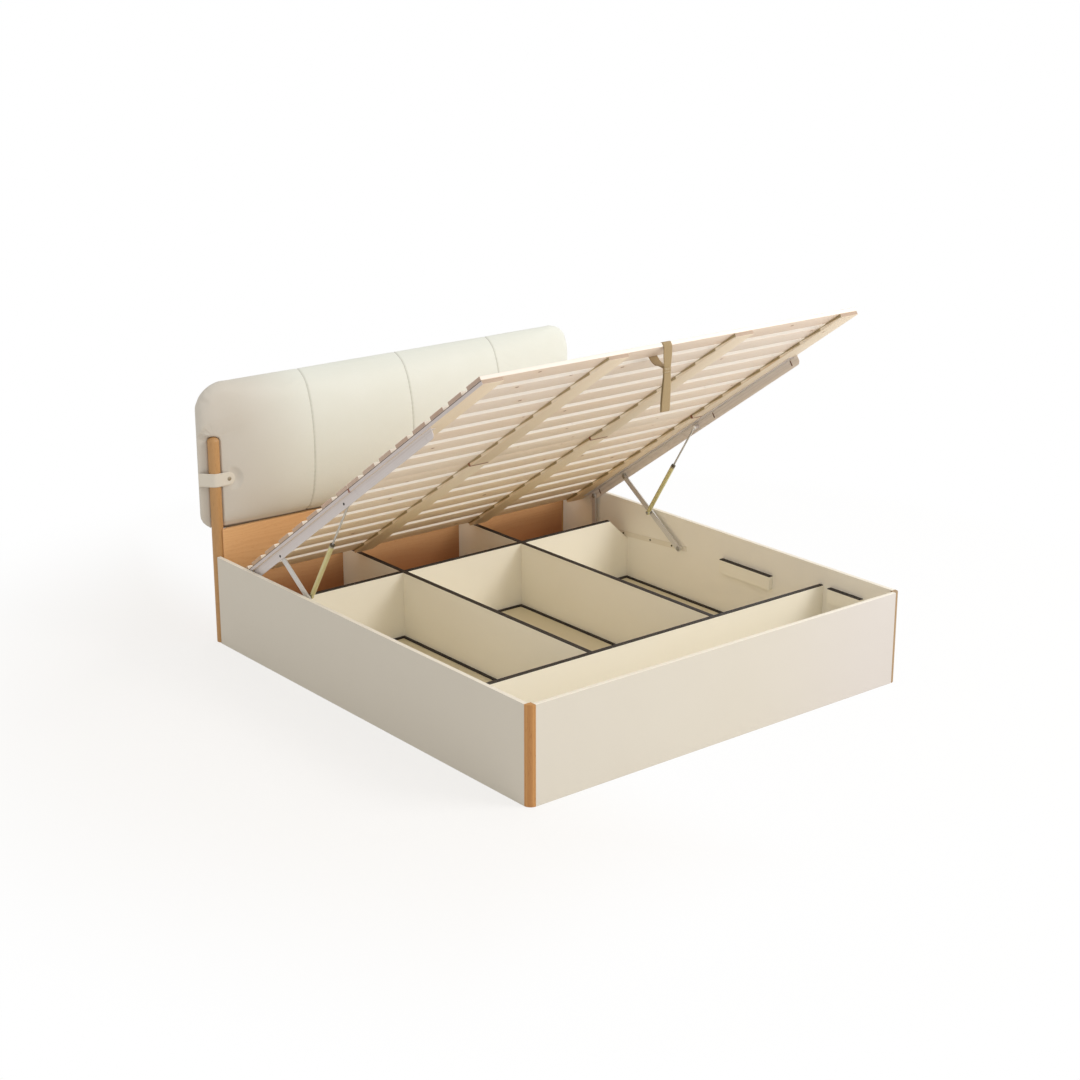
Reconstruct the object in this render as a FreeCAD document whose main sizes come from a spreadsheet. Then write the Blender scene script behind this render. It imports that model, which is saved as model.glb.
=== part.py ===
import FreeCAD, Part
import math
import os
import re
import Sketcher

from FreeCAD import Placement, Rotation, Vector

# Storage bed with a lift-up slatted deck, a soft headboard between two round posts
# and a box divided into compartments. Millimetres, +Z up, headboard at +Y, foot at -Y.
# The origin is on the floor at the centre of the box. The deck is modelled open.

doc = FreeCAD.newDocument("storage_bed")
sheet = doc.addObject("Spreadsheet::Sheet", "Sizes")

# Driving dimensions: alias and value.
DRIVING = (
    # box of coated boards
    ("box_width", 1844), ("box_length", 2030.4), ("box_height", 374.4),
    ("board_thick", 18), ("edge_round", 1.5), ("corner_radius", 28.6),
    ("seat_gap", 0.3), ("cut_overrun", 10),
    # headboard posts and beech panel
    ("post_radius", 24), ("post_height", 870), ("post_dome", 19), ("post_proud", 2),
    ("head_panel_thick", 18), ("head_panel_height", 486), ("head_panel_inset", 4.2), ("head_panel_lap", 8),
    # headboard cushion, its back board and bolts
    ("cushion_overhang", 35), ("cushion_bottom", 481.6), ("cushion_top", 1092),
    ("cushion_depth", 160), ("cushion_end_depth", 26), ("cushion_rim", 30), ("cushion_flap", 15.5),
    ("cushion_corner", 90), ("cushion_low_corner", 52),
    ("seam_reach", 485), ("seam_depth", 5), ("seam_draw", 2),
    ("notch_bend", 78), ("notch_bend_front", 27), ("notch_reach", 233), ("notch_fade", 75),
    ("notch_fade_reach", 62), ("flap_front", 36),
    ("back_board_thick", 12), ("back_board_inset", 46),
    ("bolt_radius", 4), ("bolt_head_radius", 8), ("bolt_head_thick", 4), ("bolt_grip", 22),
    ("bolt_low", 640), ("bolt_high", 820),
    # leather straps round the posts
    ("strap_height", 56), ("strap_middle", 695), ("strap_thick", 3),
    ("strap_outer_back", 30), ("strap_tip_reach", 74), ("strap_tip_front", 29),
    ("stud_radius", 7), ("stud_height", 4), ("stud_share", 0.67),
    # partitions and their dark edge bands
    ("partition_top", 300), ("band_thick", 3.5), ("long_partition_x", 308),
    ("head_cross_from_head", 440.2), ("foot_cross_from_foot", 400.2),
    ("chamfer_width", 105), ("chamfer_drop", 98), ("halving_height", 150), ("halving_gap", 0.2),
    # compartment floors
    ("floor_board_thick", 9), ("floor_batten_height", 8), ("floor_batten_width", 60),
    ("floor_strip_width", 12), ("floor_strip_proud", 6),
    # rest blocks on the side walls
    ("rest_block_depth", 20), ("rest_block_tall", 60), ("middle_block_top", 262.5),
    ("middle_block_length", 295), ("middle_block_place_share", 0.5035),
    ("foot_block_length", 173), ("foot_block_from_foot", 177.2),
    # deck, in its own frame: along from the head end, up from the rails' underside
    ("deck_angle", 34.55), ("deck_head_from_head", 142), ("deck_head_z", 308.8),
    ("deck_side_gap", 4), ("deck_end_gap", 15.2), ("slat_width", 90), ("slat_thick", 15),
    ("slats_per_half", 8), ("rail_width", 90), ("rail_thick", 15), ("inner_rail_x", 302),
    ("splice_gap", 0.4),
    # angle irons under the deck's edges
    ("iron_width", 30), ("iron_height", 38), ("iron_wall", 2.5), ("iron_set_in", 6.5),
    ("iron_start", 60), ("iron_end", 1595), ("iron_corner", 18),
    ("slot_length", 24), ("slot_width", 6.5),
    ("slot_first", 147), ("slot_second", 1022), ("slot_third", 1548), ("slot_drop", 17),
    # wall plates and their screws
    ("plate_thick", 3), ("plate_width", 22), ("plate_overhang", 34), ("boss_radius", 8),
    ("screw_radius", 2), ("screw_head_radius", 4.5), ("screw_head_thick", 2), ("screw_length", 13),
    # lift arms and rear links
    ("arm_width", 26), ("arm_thick", 5), ("arm_gap", 1), ("pivot_radius", 5), ("pivot_fit", 0.05),
    ("pivot_head_radius", 8), ("pivot_head_thick", 4),
    ("arm_pivot_along", 347.3), ("arm_pivot_drop", 23.4),
    ("arm_foot_from_head", 799.9), ("arm_foot_z", 241.9),
    ("link_pivot_along", 99.6), ("link_pivot_drop", 20.7),
    ("link_foot_from_head", 241.6), ("link_foot_z", 205),
    # gas struts
    ("strut_stand_off", 11.5), ("strut_along_share", 0.5), ("strut_top_along", 910), ("strut_top_drop", 20),
    ("tube_radius", 9.5), ("tube_length", 299), ("tube_wall", 1.5), ("collar_length", 12),
    ("rod_radius", 4), ("rod_in_tube", 30), ("eye_radius", 9), ("eye_thick", 9),
    ("strut_pin_radius", 4), ("strut_head_radius", 7), ("strut_head_thick", 3),
    # pull strap of webbing round the foot slat
    ("pull_x", -72), ("pull_width", 41), ("pull_thick", 2.5), ("pull_gap", 0.5),
    ("pull_drop", 76), ("pull_gather", 22), ("pull_tail", 140),
    ("pull_sag_near", 46), ("pull_sag_near_rise", 3), ("pull_sag_far", 61), ("pull_sag_far_rise", 11),
)

# Sizes worked out from the driving ones.
DERIVED = (
    ("half_width", "box_width / 2"),
    ("inner_x", "half_width - board_thick"),
    ("head_end", "box_length / 2"),
    ("corner_edge", "head_end - corner_radius"),
    ("foot_inner", "head_end - board_thick"),
    ("post_x", "half_width - post_radius + post_proud"),
    ("post_y", "head_end + post_radius + seat_gap"),
    ("cushion_half", "half_width + cushion_overhang"),
    ("strap_outer_reach", "cushion_half - post_x"),
    ("head_panel_face", "head_end - head_panel_inset"),
    ("cushion_back", "post_y + post_radius + cushion_flap"),
    ("cushion_face", "cushion_back - cushion_depth - seam_depth"),
    ("board_back", "cushion_back + seat_gap + back_board_thick"),
    ("head_cross_y", "head_end - head_cross_from_head"),
    ("foot_cross_y", "foot_cross_from_foot - head_end"),
    ("foot_cross_face", "foot_cross_y + board_thick / 2"),
    ("half_slot", "board_thick / 2 + halving_gap"),
    ("board_top", "partition_top - band_thick"),
    ("partition_x", "inner_x - seat_gap"),
    ("floor_top", "floor_batten_height + floor_board_thick"),
    ("deck_width", "2 * (inner_x - deck_side_gap)"),
    ("deck_length", "box_length - 2 * (board_thick + deck_end_gap)"),
    ("deck_half", "deck_length / 2"),
    ("deck_head_y", "head_end - deck_head_from_head"),
    ("slat_gap", "(deck_half - slats_per_half * slat_width) / (slats_per_half - 1)"),
    ("iron_outer", "deck_width / 2 - iron_set_in"),
    ("iron_inner", "iron_outer - iron_wall"),
    ("arm_outer", "iron_inner - arm_gap"),
    ("arm_inner", "arm_outer - arm_thick"),
    ("plate_inner", "inner_x - plate_thick"),
    ("deck_cos", "cos(deck_angle)"),
    ("deck_sin", "sin(deck_angle)"),
    ("arm_top_y", "deck_head_y - arm_pivot_along * deck_cos - arm_pivot_drop * deck_sin"),
    ("arm_top_z", "deck_head_z + arm_pivot_along * deck_sin - arm_pivot_drop * deck_cos"),
    ("arm_foot_y", "head_end - arm_foot_from_head"),
    ("middle_block_middle", "foot_cross_face + middle_block_place_share * (arm_foot_y - foot_cross_face)"),
    ("middle_block_start", "middle_block_middle - middle_block_length / 2"),
    ("foot_block_start", "foot_block_from_foot - head_end"),
    ("arm_rise", "arm_top_z - arm_foot_z"),
    ("arm_run", "arm_top_y - arm_foot_y"),
    ("arm_length", "sqrt(arm_rise ^ 2 + arm_run ^ 2)"),
    ("link_top_y", "deck_head_y - link_pivot_along * deck_cos - link_pivot_drop * deck_sin"),
    ("link_top_z", "deck_head_z + link_pivot_along * deck_sin - link_pivot_drop * deck_cos"),
    ("link_foot_y", "head_end - link_foot_from_head"),
    ("link_rise", "link_top_z - link_foot_z"),
    ("link_run", "link_top_y - link_foot_y"),
    ("link_length", "sqrt(link_rise ^ 2 + link_run ^ 2)"),
    ("plate_drop", "link_foot_z - arm_foot_z"),
    ("plate_run", "link_foot_y - arm_foot_y"),
    ("plate_reach", "sqrt(plate_drop ^ 2 + plate_run ^ 2)"),
    ("strut_foot_y", "arm_foot_y + strut_along_share * arm_run"),
    ("strut_foot_z", "arm_foot_z + strut_along_share * arm_rise"),
    ("strut_top_y", "deck_head_y - strut_top_along * deck_cos - strut_top_drop * deck_sin"),
    ("strut_top_z", "deck_head_z + strut_top_along * deck_sin - strut_top_drop * deck_cos"),
    ("strut_rise", "strut_top_z - strut_foot_z"),
    ("strut_run", "strut_top_y - strut_foot_y"),
    ("strut_length", "sqrt(strut_rise ^ 2 + strut_run ^ 2)"),
    ("eye_outer", "arm_inner - strut_stand_off"),
    ("strut_x", "eye_outer - eye_thick / 2"),
    ("eye_inner", "strut_x - eye_thick / 2"),
)

for row, (alias, entry) in enumerate(DRIVING + DERIVED, start=1):
    text = str(entry) if isinstance(entry, (int, float)) else "=" + entry
    sheet.set("A%d" % row, alias)
    sheet.set("B%d" % row, text)
    sheet.setAlias("B%d" % row, alias)
doc.recompute()

ALIASES = set(alias for alias, entry in DRIVING + DERIVED)
SIDES = (("left", -1), ("right", 1))
nodes = []


def linked(expression):
    """The expression with every alias pointing at the sheet."""
    return re.sub(r"[a-z_]+", lambda word: "Sizes." + word[0] if word[0] in ALIASES else word[0],
                  str(expression))


def size(expression):
    """The present value of an expression in the sheet's aliases."""
    result = sheet.evalExpression(linked(expression))
    return float(getattr(result, "Value", result))


def bind(piece, prop, expression):
    piece.setExpression(prop, linked(expression))


def keep(piece, label):
    """Name a finished sub-part, which gets a file of its own."""
    piece.Label = label
    nodes.append(piece)
    return piece


def across(side, inner, outer):
    """Low and high X of a stretch that lies between inner and outer on one side."""
    if side > 0:
        return inner, outer
    return "-(%s)" % outer, "-(%s)" % inner


def box(name, x_span, y_span, z_span):
    piece = doc.addObject("Part::Box", name)
    for prop, place, (low, high) in (("Length", "x", x_span), ("Width", "y", y_span),
                                     ("Height", "z", z_span)):
        bind(piece, prop, "(%s) - (%s)" % (high, low))
        bind(piece, ".Placement.Base." + place, low)
    return piece


TURNS = {"X": Rotation(Vector(0, 1, 0), 90), "Y": Rotation(Vector(1, 0, 0), -90), "Z": Rotation()}


def cylinder(name, axis, radius, start, length):
    """A round bar from its start point along an axis."""
    piece = doc.addObject("Part::Cylinder", name)
    piece.Placement = Placement(Vector(), TURNS[axis])
    bind(piece, "Radius", radius)
    bind(piece, "Height", length)
    for place, expression in zip("xyz", start):
        bind(piece, ".Placement.Base." + place, expression)
    return piece


def pin_across(name, side, radius, inner, outer, y, z):
    """A round bar along X between two distances from the middle, on one side."""
    low, high = across(side, inner, outer)
    return cylinder(name, "X", radius, (low, y, z), "(%s) - (%s)" % (high, low))


def group(name, pieces):
    piece = doc.addObject("Part::Compound", name)
    piece.Links = pieces
    return piece


def fused(name, pieces):
    piece = doc.addObject("Part::MultiFuse", name)
    piece.Shapes = pieces
    return piece


def less(name, base, tools):
    """The base with every tool cut out of it."""
    piece = doc.addObject("Part::Cut", name)
    piece.Base = base
    piece.Tool = tools[0] if len(tools) == 1 else fused(name + "_cuts", tools)
    return piece


def turned(name, pieces, y, z, rise, run):
    """Pieces modelled along +Y, turned about X to a slope and set at a point."""
    piece = group(name, pieces)
    piece.Placement = Placement(Vector(), Rotation(Vector(1, 0, 0), 1))
    bind(piece, ".Placement.Base.y", y)
    bind(piece, ".Placement.Base.z", z)
    bind(piece, ".Placement.Rotation.Angle", "atan2(%s; %s)" % (rise, run))
    return piece


def on_deck(name, pieces):
    """Pieces of the deck's own frame, where -Y runs to the foot, set at the open deck."""
    piece = group(name, pieces)
    piece.Placement = Placement(Vector(), Rotation(Vector(1, 0, 0), 1))
    bind(piece, ".Placement.Base.y", "deck_head_y")
    bind(piece, ".Placement.Base.z", "deck_head_z")
    bind(piece, ".Placement.Rotation.Angle", "-deck_angle")
    return piece


def sketch_on(body, role, points, offset):
    """A closed outline with every corner held by two dimensions from the sheet."""
    sketch = body.newObject("Sketcher::SketchObject", body.Name + "_outline")
    plane = [origin for origin in body.Origin.OriginFeatures if origin.Role == role][0]
    sketch.AttachmentSupport = [(plane, "")]
    sketch.MapMode = "FlatFace"
    bind(sketch, ".AttachmentOffset.Base.z", offset)
    corners = [(size(across_size), size(up_size)) for across_size, up_size in points]
    count = len(corners)
    for index in range(count):
        start = Vector(*corners[index])
        end = Vector(*corners[(index + 1) % count])
        sketch.addGeometry(Part.LineSegment(start, end))
    for index in range(count):
        sketch.addConstraint(Sketcher.Constraint("Coincident", index, 2, (index + 1) % count, 1))
    for index, (expressions, corner) in enumerate(zip(points, corners)):
        for kind, expression, value in zip(("DistanceX", "DistanceY"), expressions, corner):
            place = sketch.addConstraint(Sketcher.Constraint(kind, -1, 1, index, 1, value))
            name = "%s_%d" % (kind[-1].lower(), index)
            sketch.renameConstraint(place, name)
            bind(sketch, "Constraints." + name, expression)
    return sketch


def padded(name, role, points, offset, length):
    """A board or profile: an outline on a plane, drawn out to a length."""
    body = doc.addObject("PartDesign::Body", name)
    sketch = sketch_on(body, role, points, offset)
    pad = body.newObject("PartDesign::Pad", name + "_pad")
    pad.Profile = sketch
    bind(pad, "Length", length)
    body.Tip = pad
    return body


def rounded(body, radius, chosen):
    """Round the edges of a body that the test picks by their two end points."""
    doc.recompute()
    base = body.Tip
    names = []
    for index, edge in enumerate(base.Shape.Edges, start=1):
        ends = [vertex.Point for vertex in edge.Vertexes]
        if len(ends) == 2 and chosen(ends[0], ends[1]):
            names.append("Edge%d" % index)
    fillet = body.newObject("PartDesign::Fillet", body.Name + "_round")
    fillet.Base = (base, names)
    bind(fillet, "Radius", radius)
    body.Tip = fillet
    return body


def rectangle(low_u, high_u, low_v, high_v):
    return ((low_u, low_v), (high_u, low_v), (high_u, high_v), (low_u, high_v))


def near(value, expression):
    return abs(value - size(expression)) < size("seat_gap")


# Box of coated boards

def top_long_edge(first, second):
    """An edge along the top of a board, not across its thickness."""
    return (near(first.z, "box_height") and near(second.z, "box_height")
            and (first - second).Length > size("2 * board_thick"))


foot_panel = padded("foot_panel_board", "XY_Plane",
                    rectangle("-half_width + corner_radius", "half_width - corner_radius",
                              "-head_end", "-foot_inner"), "0", "box_height")
keep(rounded(foot_panel, "edge_round", top_long_edge), "foot_panel")

PLATE_SCREW_SHARES = (0.1, 0.35, 0.67, 0.9)


def plate_screws(side_name, side, radius, inner, outer):
    """Round bars along X where the screws of a wall plate stand."""
    bars = []
    for index, share in enumerate(PLATE_SCREW_SHARES):
        y = "arm_foot_y + %g * plate_run" % share
        z = "arm_foot_z + %g * plate_drop" % share
        name = "screw_bar_%s_%d" % (side_name, index)
        bars.append(pin_across(name, side, radius, inner, outer, y, z))
    return bars


for side_name, side in SIDES:
    low, high = across(side, "inner_x", "half_width")
    board = padded("side_board_" + side_name, "XY_Plane",
                   rectangle(low, high, "-corner_edge", "head_end"), "0", "box_height")
    rounded(board, "edge_round", top_long_edge)
    holes = plate_screws("hole_" + side_name, side, "screw_radius + pivot_fit", "inner_x - cut_overrun",
                         "plate_inner + screw_length + pivot_fit")
    keep(less("side_panel_" + side_name + "_cut", board, holes), "side_panel_" + side_name)

    # Quarter-round beech strip at the front corner.
    strip = cylinder("corner_round_" + side_name, "Z", "corner_radius",
                     ("%d * (half_width - corner_radius)" % side, "-corner_edge", "0"), "box_height")
    bind(strip, "Angle", "90")
    turn = 270 if side > 0 else 180
    strip.Placement = Placement(strip.Placement.Base, Rotation(Vector(0, 0, 1), turn))
    keep(strip, "corner_strip_" + side_name)


# Headboard posts and the beech panel between them

for side_name, side in SIDES:
    post = doc.addObject("PartDesign::Body", "post_" + side_name)
    sketch = post.newObject("Sketcher::SketchObject", "post_outline_" + side_name)
    plane = [origin for origin in post.Origin.OriginFeatures if origin.Role == "XY_Plane"][0]
    sketch.AttachmentSupport = [(plane, "")]
    sketch.MapMode = "FlatFace"
    centre = Vector(size("%d * post_x" % side), size("post_y"))
    sketch.addGeometry(Part.Circle(centre, Vector(0, 0, 1), size("post_radius")))
    for kind, name, expression, value in (("DistanceX", "centre_x", "%d * post_x" % side, centre.x),
                                          ("DistanceY", "centre_y", "post_y", centre.y)):
        place = sketch.addConstraint(Sketcher.Constraint(kind, -1, 1, 0, 3, value))
        sketch.renameConstraint(place, name)
        bind(sketch, "Constraints." + name, expression)
    place = sketch.addConstraint(Sketcher.Constraint("Radius", 0, size("post_radius")))
    sketch.renameConstraint(place, "radius")
    bind(sketch, "Constraints.radius", "post_radius")
    pad = post.newObject("PartDesign::Pad", "post_pad_" + side_name)
    pad.Profile = sketch
    bind(pad, "Length", "post_height")
    post.Tip = pad
    doc.recompute()
    top_edges = ["Edge%d" % index for index, edge in enumerate(pad.Shape.Edges, start=1)
                 if near(edge.BoundBox.ZMin, "post_height")]
    dome = post.newObject("PartDesign::Fillet", "post_dome_" + side_name)
    dome.Base = (pad, top_edges)
    bind(dome, "Radius", "post_dome")
    post.Tip = dome
    bolt_holes = [cylinder("post_bolt_hole_%s_%s" % (side_name, height), "Y", "bolt_radius + pivot_fit",
                           ("%d * post_x" % side, "post_y + post_radius - bolt_grip - pivot_fit",
                            "bolt_" + height), "bolt_grip + cut_overrun")
                  for height in ("low", "high")]
    keep(less("post_cut_" + side_name, post, bolt_holes), "headboard_post_" + side_name)

head_board = box("head_panel_box", ("-post_x + head_panel_lap", "post_x - head_panel_lap"),
                 ("head_panel_face", "head_panel_face + head_panel_thick"), ("0", "head_panel_height"))
post_rooms = [cylinder("head_panel_room_" + side_name, "Z", "post_radius + seat_gap",
                       ("%d * post_x" % side, "post_y", "-cut_overrun"), "post_height")
              for side_name, side in SIDES]
keep(less("head_panel_cut", head_board, post_rooms), "head_panel")


# Headboard cushion: four crowned panels between vertical seams, rounded at the ends

def tangent_turn(reach, radius, sense):
    """Where a line from a point off a circle touches it, as an angle round the circle."""
    return math.atan2(reach.y, reach.x) + sense * math.acos(radius / reach.Length)


def strap_path(side):
    """Plan of a strap: its two end points and the angles where it meets the post."""
    outer = Vector(side * size("strap_outer_reach"), size("strap_outer_back"), 0)
    tip = Vector(-side * size("strap_tip_reach"), -size("strap_tip_front"), 0)
    radius = size("post_radius + seat_gap")
    return outer, tip, tangent_turn(outer, radius, -side), tangent_turn(tip, radius, side)


def round_point(turn, radius):
    return Vector(radius * math.cos(turn), radius * math.sin(turn), 0)


# Where the arcs of the face's upper and lower part meet, as shares of half its height.
UPPER_FACE_SHARES = (1, 0.88, 0.62, 0.32, 0)
LOWER_FACE_SHARES = (0, 0.36, 0.66, 0.9, 1)

# Powers that shape the pillow: upper and lower face, then across the width and its root.
UPPER_POWER, LOWER_POWER, WIDTH_POWER = 2, 2.6, 2.2
FACE_ROOT, WIDTH_ROOT = 0.5, 0.6


def full_depth(x):
    """How far the face stands from the back at mid-height, at x."""
    share = min(1, abs(x) / size("cushion_half"))
    round_share = (1 - share ** WIDTH_POWER) ** WIDTH_ROOT
    return size("cushion_end_depth") + size("cushion_depth - cushion_end_depth") * round_share


def cushion_section(x, insets, puff):
    """A closed section of the cushion at x, with its top and low insets and its added fullness."""
    high = size("cushion_top") - insets[0]
    low = size("cushion_bottom") + insets[1]
    back = size("cushion_back")
    depth = full_depth(x) + puff
    rim = min(size("cushion_rim"), depth / 2)
    middle = (low + high) / 2
    half = (high - low) / 2
    upper = [Vector(x, back - rim - (depth - rim) * (1 - share ** UPPER_POWER) ** FACE_ROOT,
                    middle + share * half) for share in UPPER_FACE_SHARES]
    lower = [Vector(x, back - rim - (depth - rim) * (1 - share ** LOWER_POWER) ** FACE_ROOT,
                    middle - share * half) for share in LOWER_FACE_SHARES]
    slant = rim * math.sqrt(0.5)
    back_high = Vector(x, back, high - rim)
    back_low = Vector(x, back, low + rim)
    return Part.Wire([
        Part.makeLine(back_low, back_high),
        Part.Arc(back_high, Vector(x, back - rim + slant, high - rim + slant), upper[0]).toShape(),
        Part.Arc(*upper[0:3]).toShape(),
        Part.Arc(*upper[2:5]).toShape(),
        Part.Arc(*lower[0:3]).toShape(),
        Part.Arc(*lower[2:5]).toShape(),
        Part.Arc(lower[4], Vector(x, back - rim + slant, low + rim - slant), back_low).toShape(),
    ])


def seam_section(x, fullness):
    """A section beside a seam: none full at the stitches, wholly full at 1."""
    drawn = size("seam_draw") * (1 - fullness)
    return cushion_section(x, (drawn, drawn), size("seam_depth") * fullness)


def rise_from_seam(step):
    """How full the cushion is a number of stations away from a seam."""
    share = min(1, step / (PANEL_STEPS / 2))
    return math.sqrt(math.sin(share * math.pi / 2))


PANEL_STEPS = 8


def panel_between(start, end):
    stations = [seam_section(start + (end - start) * step / PANEL_STEPS,
                             rise_from_seam(min(step, PANEL_STEPS - step)))
                for step in range(PANEL_STEPS + 1)]
    return Part.makeLoft(stations, True, False)


# How far round the corner each station of an end stands, as shares of a right angle.
END_STATION_SHARES = (0, 0.27, 0.5, 0.69, 0.83, 0.93)


def round_in(past, radius):
    """How far a quarter round has come in, this far past its start."""
    past = min(max(0, past), radius)
    return radius - math.sqrt(radius ** 2 - past ** 2)


def end_panel(seam, end):
    """A panel from a seam to the cushion's rounded end."""
    corner = size("cushion_corner")
    low_corner = size("cushion_low_corner")
    outward = 1 if end > seam else -1
    straight = end - outward * corner
    steps = PANEL_STEPS - 1
    stations = [seam_section(seam + (straight - seam) * step / steps, rise_from_seam(step))
                for step in range(steps)]
    for share in END_STATION_SHARES:
        past = corner * math.sin(math.radians(90 * share))
        insets = (round_in(past, corner), round_in(past - corner + low_corner, low_corner))
        stations.append(cushion_section(straight + outward * past, insets, size("seam_depth") * (1 - share)))
    return Part.makeLoft(stations, True, False)


cushion_half = size("cushion_half")
seam_x = size("seam_reach")
cushion_shape = panel_between(-seam_x, 0).fuse([panel_between(0, seam_x),
                                                end_panel(-seam_x, -cushion_half),
                                                end_panel(seam_x, cushion_half)])
cushion_front = size("cushion_face - cut_overrun")
post_room = size("post_radius + seat_gap + pivot_fit")
room_height = size("post_height + seat_gap")
for side_name, side in SIDES:
    # The post presses into the cushion: room for it, open to the front and outwards,
    # that slopes out to the face above the post.
    post_centre = Vector(side * size("post_x"), size("post_y"), 0)
    room = Part.makeCylinder(post_room, room_height, post_centre)
    outside = side * (cushion_half + size("cut_overrun"))
    slant = post_room * math.sqrt(0.5)
    corners = [post_centre, post_centre + Vector(-side * slant, -slant, 0),
               post_centre + Vector(-side * size("notch_bend"), -size("notch_bend_front"), 0),
               Vector(post_centre.x - side * size("notch_reach"), cushion_front, 0),
               Vector(outside, cushion_front, 0),
               Vector(outside, post_centre.y + size("flap_front"), 0),
               post_centre + Vector(side * slant, slant, 0)]
    outline = Part.makePolygon(corners + corners[:1])
    mouth = Part.Face(outline).extrude(Vector(0, 0, room_height))
    ceiling = outline.translated(Vector(0, 0, room_height))
    faded = ceiling.translated(Vector(0, -size("notch_fade_reach"), size("notch_fade")))
    fade = Part.makeLoft([ceiling, faded], True, True)
    cushion_shape = cushion_shape.cut([room, mouth, fade])
    for height in ("bolt_low", "bolt_high"):
        hole_start = Vector(side * size("post_x"), size("post_y"), size(height))
        hole = Part.makeCylinder(size("bolt_radius + seat_gap"), size("cushion_depth"), hole_start,
                                 Vector(0, 1, 0))
        cushion_shape = cushion_shape.cut(hole)
cushion = doc.addObject("Part::Feature", "cushion")
cushion.Shape = cushion_shape
keep(cushion, "headboard_cushion")

back_board = box("back_board_box", ("-cushion_half + back_board_inset", "cushion_half - back_board_inset"),
                 ("cushion_back + seat_gap", "board_back"),
                 ("cushion_bottom + back_board_inset", "cushion_top - back_board_inset"))
board_holes = []
bolts = []
for side_name, side in SIDES:
    for height in ("low", "high"):
        place = "%s_%s" % (side_name, height)
        bolt_x = "%d * post_x" % side
        board_holes.append(cylinder("board_hole_" + place, "Y", "bolt_radius + pivot_fit",
                                    (bolt_x, "cushion_back", "bolt_" + height),
                                    "back_board_thick + cut_overrun"))
        shank = cylinder("bolt_shank_" + place, "Y", "bolt_radius",
                         (bolt_x, "post_y + post_radius - bolt_grip", "bolt_" + height),
                         "board_back - post_y - post_radius + bolt_grip")
        head = cylinder("bolt_head_" + place, "Y", "bolt_head_radius",
                        (bolt_x, "board_back", "bolt_" + height), "bolt_head_thick")
        bolts.append(fused("bolt_" + place, [shank, head]))
keep(less("back_board_cut", back_board, board_holes), "headboard_back_board")
keep(group("bolt_set", bolts), "headboard_bolts")


# Leather straps from the cushion's end round the front of each post

def strap_outline(side):
    """The strap's outline round the post's centre: straight, round the front, straight."""
    outer, tip, outer_turn, tip_turn = strap_path(side)
    front_turn = (outer_turn % (2 * math.pi) + tip_turn % (2 * math.pi)) / 2
    near_radius = size("post_radius + seat_gap")
    far_radius = near_radius + size("strap_thick")
    lines = []
    for radius in (near_radius, far_radius):
        offset = radius - near_radius
        ends = (outer + round_point(outer_turn, offset), tip + round_point(tip_turn, offset))
        touches = [round_point(turn, radius) for turn in (outer_turn, front_turn, tip_turn)]
        lines.append((ends, touches))
    (near_ends, near_touches), (far_ends, far_touches) = lines
    return Part.Wire([
        Part.makeLine(near_ends[0], near_touches[0]),
        Part.Arc(*near_touches).toShape(),
        Part.makeLine(near_touches[2], near_ends[1]),
        Part.makeLine(near_ends[1], far_ends[1]),
        Part.makeLine(far_ends[1], far_touches[2]),
        Part.Arc(*reversed(far_touches)).toShape(),
        Part.makeLine(far_touches[0], far_ends[0]),
        Part.makeLine(far_ends[0], near_ends[0]),
    ])


studs = []
for side_name, side in SIDES:
    post_foot = Vector(side * size("post_x"), size("post_y"), 0)
    strap = doc.addObject("Part::Feature", "strap_" + side_name)
    strap.Shape = Part.Face(strap_outline(side)).extrude(Vector(0, 0, size("strap_height")))
    strap_low = Vector(0, 0, size("strap_middle - strap_height / 2"))
    strap.Placement = Placement(post_foot + strap_low, Rotation())
    keep(strap, "leather_strap_" + side_name)
    outer, tip, outer_turn, tip_turn = strap_path(side)
    outward = round_point(tip_turn, 1)
    touch = round_point(tip_turn, size("post_radius + seat_gap"))
    seat = touch + (tip - touch) * size("stud_share") + outward * size("strap_thick")
    studs.append(Part.makeCylinder(size("stud_radius"), size("stud_height"),
                                   post_foot + seat + Vector(0, 0, size("strap_middle")), outward))
stud_piece = doc.addObject("Part::Feature", "studs")
stud_piece.Shape = Part.makeCompound(studs)
keep(stud_piece, "strap_studs")


# Partitions, halved into each other, with dark bands on their top edges

cross_corners = [("-partition_x", "0"), ("partition_x", "0"),
                 ("partition_x", "board_top - chamfer_drop"),
                 ("partition_x - chamfer_width", "board_top")]
for middle in ("long_partition_x", "-long_partition_x"):
    cross_corners += [(middle + " + half_slot", "board_top"), (middle + " + half_slot", "halving_height"),
                      (middle + " - half_slot", "halving_height"), (middle + " - half_slot", "board_top")]
cross_corners += [("-partition_x + chamfer_width", "board_top"),
                  ("-partition_x", "board_top - chamfer_drop")]
keep(padded("head_cross", "XZ_Plane", cross_corners, "-(head_cross_y + board_thick / 2)", "board_thick"),
     "cross_partition_head")

foot_cross_span = ("foot_cross_y - board_thick / 2", "foot_cross_y + board_thick / 2")
keep(padded("foot_cross", "XZ_Plane", rectangle("-partition_x", "partition_x", "0", "board_top"),
            "-(foot_cross_y + board_thick / 2)", "board_thick"), "cross_partition_foot")

long_span = (foot_cross_span[1] + " + seat_gap", "head_panel_face - seat_gap")
for side_name, side in SIDES:
    long_corners = ((long_span[0], "0"), ("head_cross_y - half_slot", "0"),
                    ("head_cross_y - half_slot", "halving_height + halving_gap"),
                    ("head_cross_y + half_slot", "halving_height + halving_gap"),
                    ("head_cross_y + half_slot", "0"), (long_span[1], "0"),
                    (long_span[1], "board_top"), (long_span[0], "board_top"))
    keep(padded("long_board_" + side_name, "YZ_Plane", long_corners,
                "%d * long_partition_x - board_thick / 2" % side, "board_thick"),
         "long_partition_" + side_name)

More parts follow.
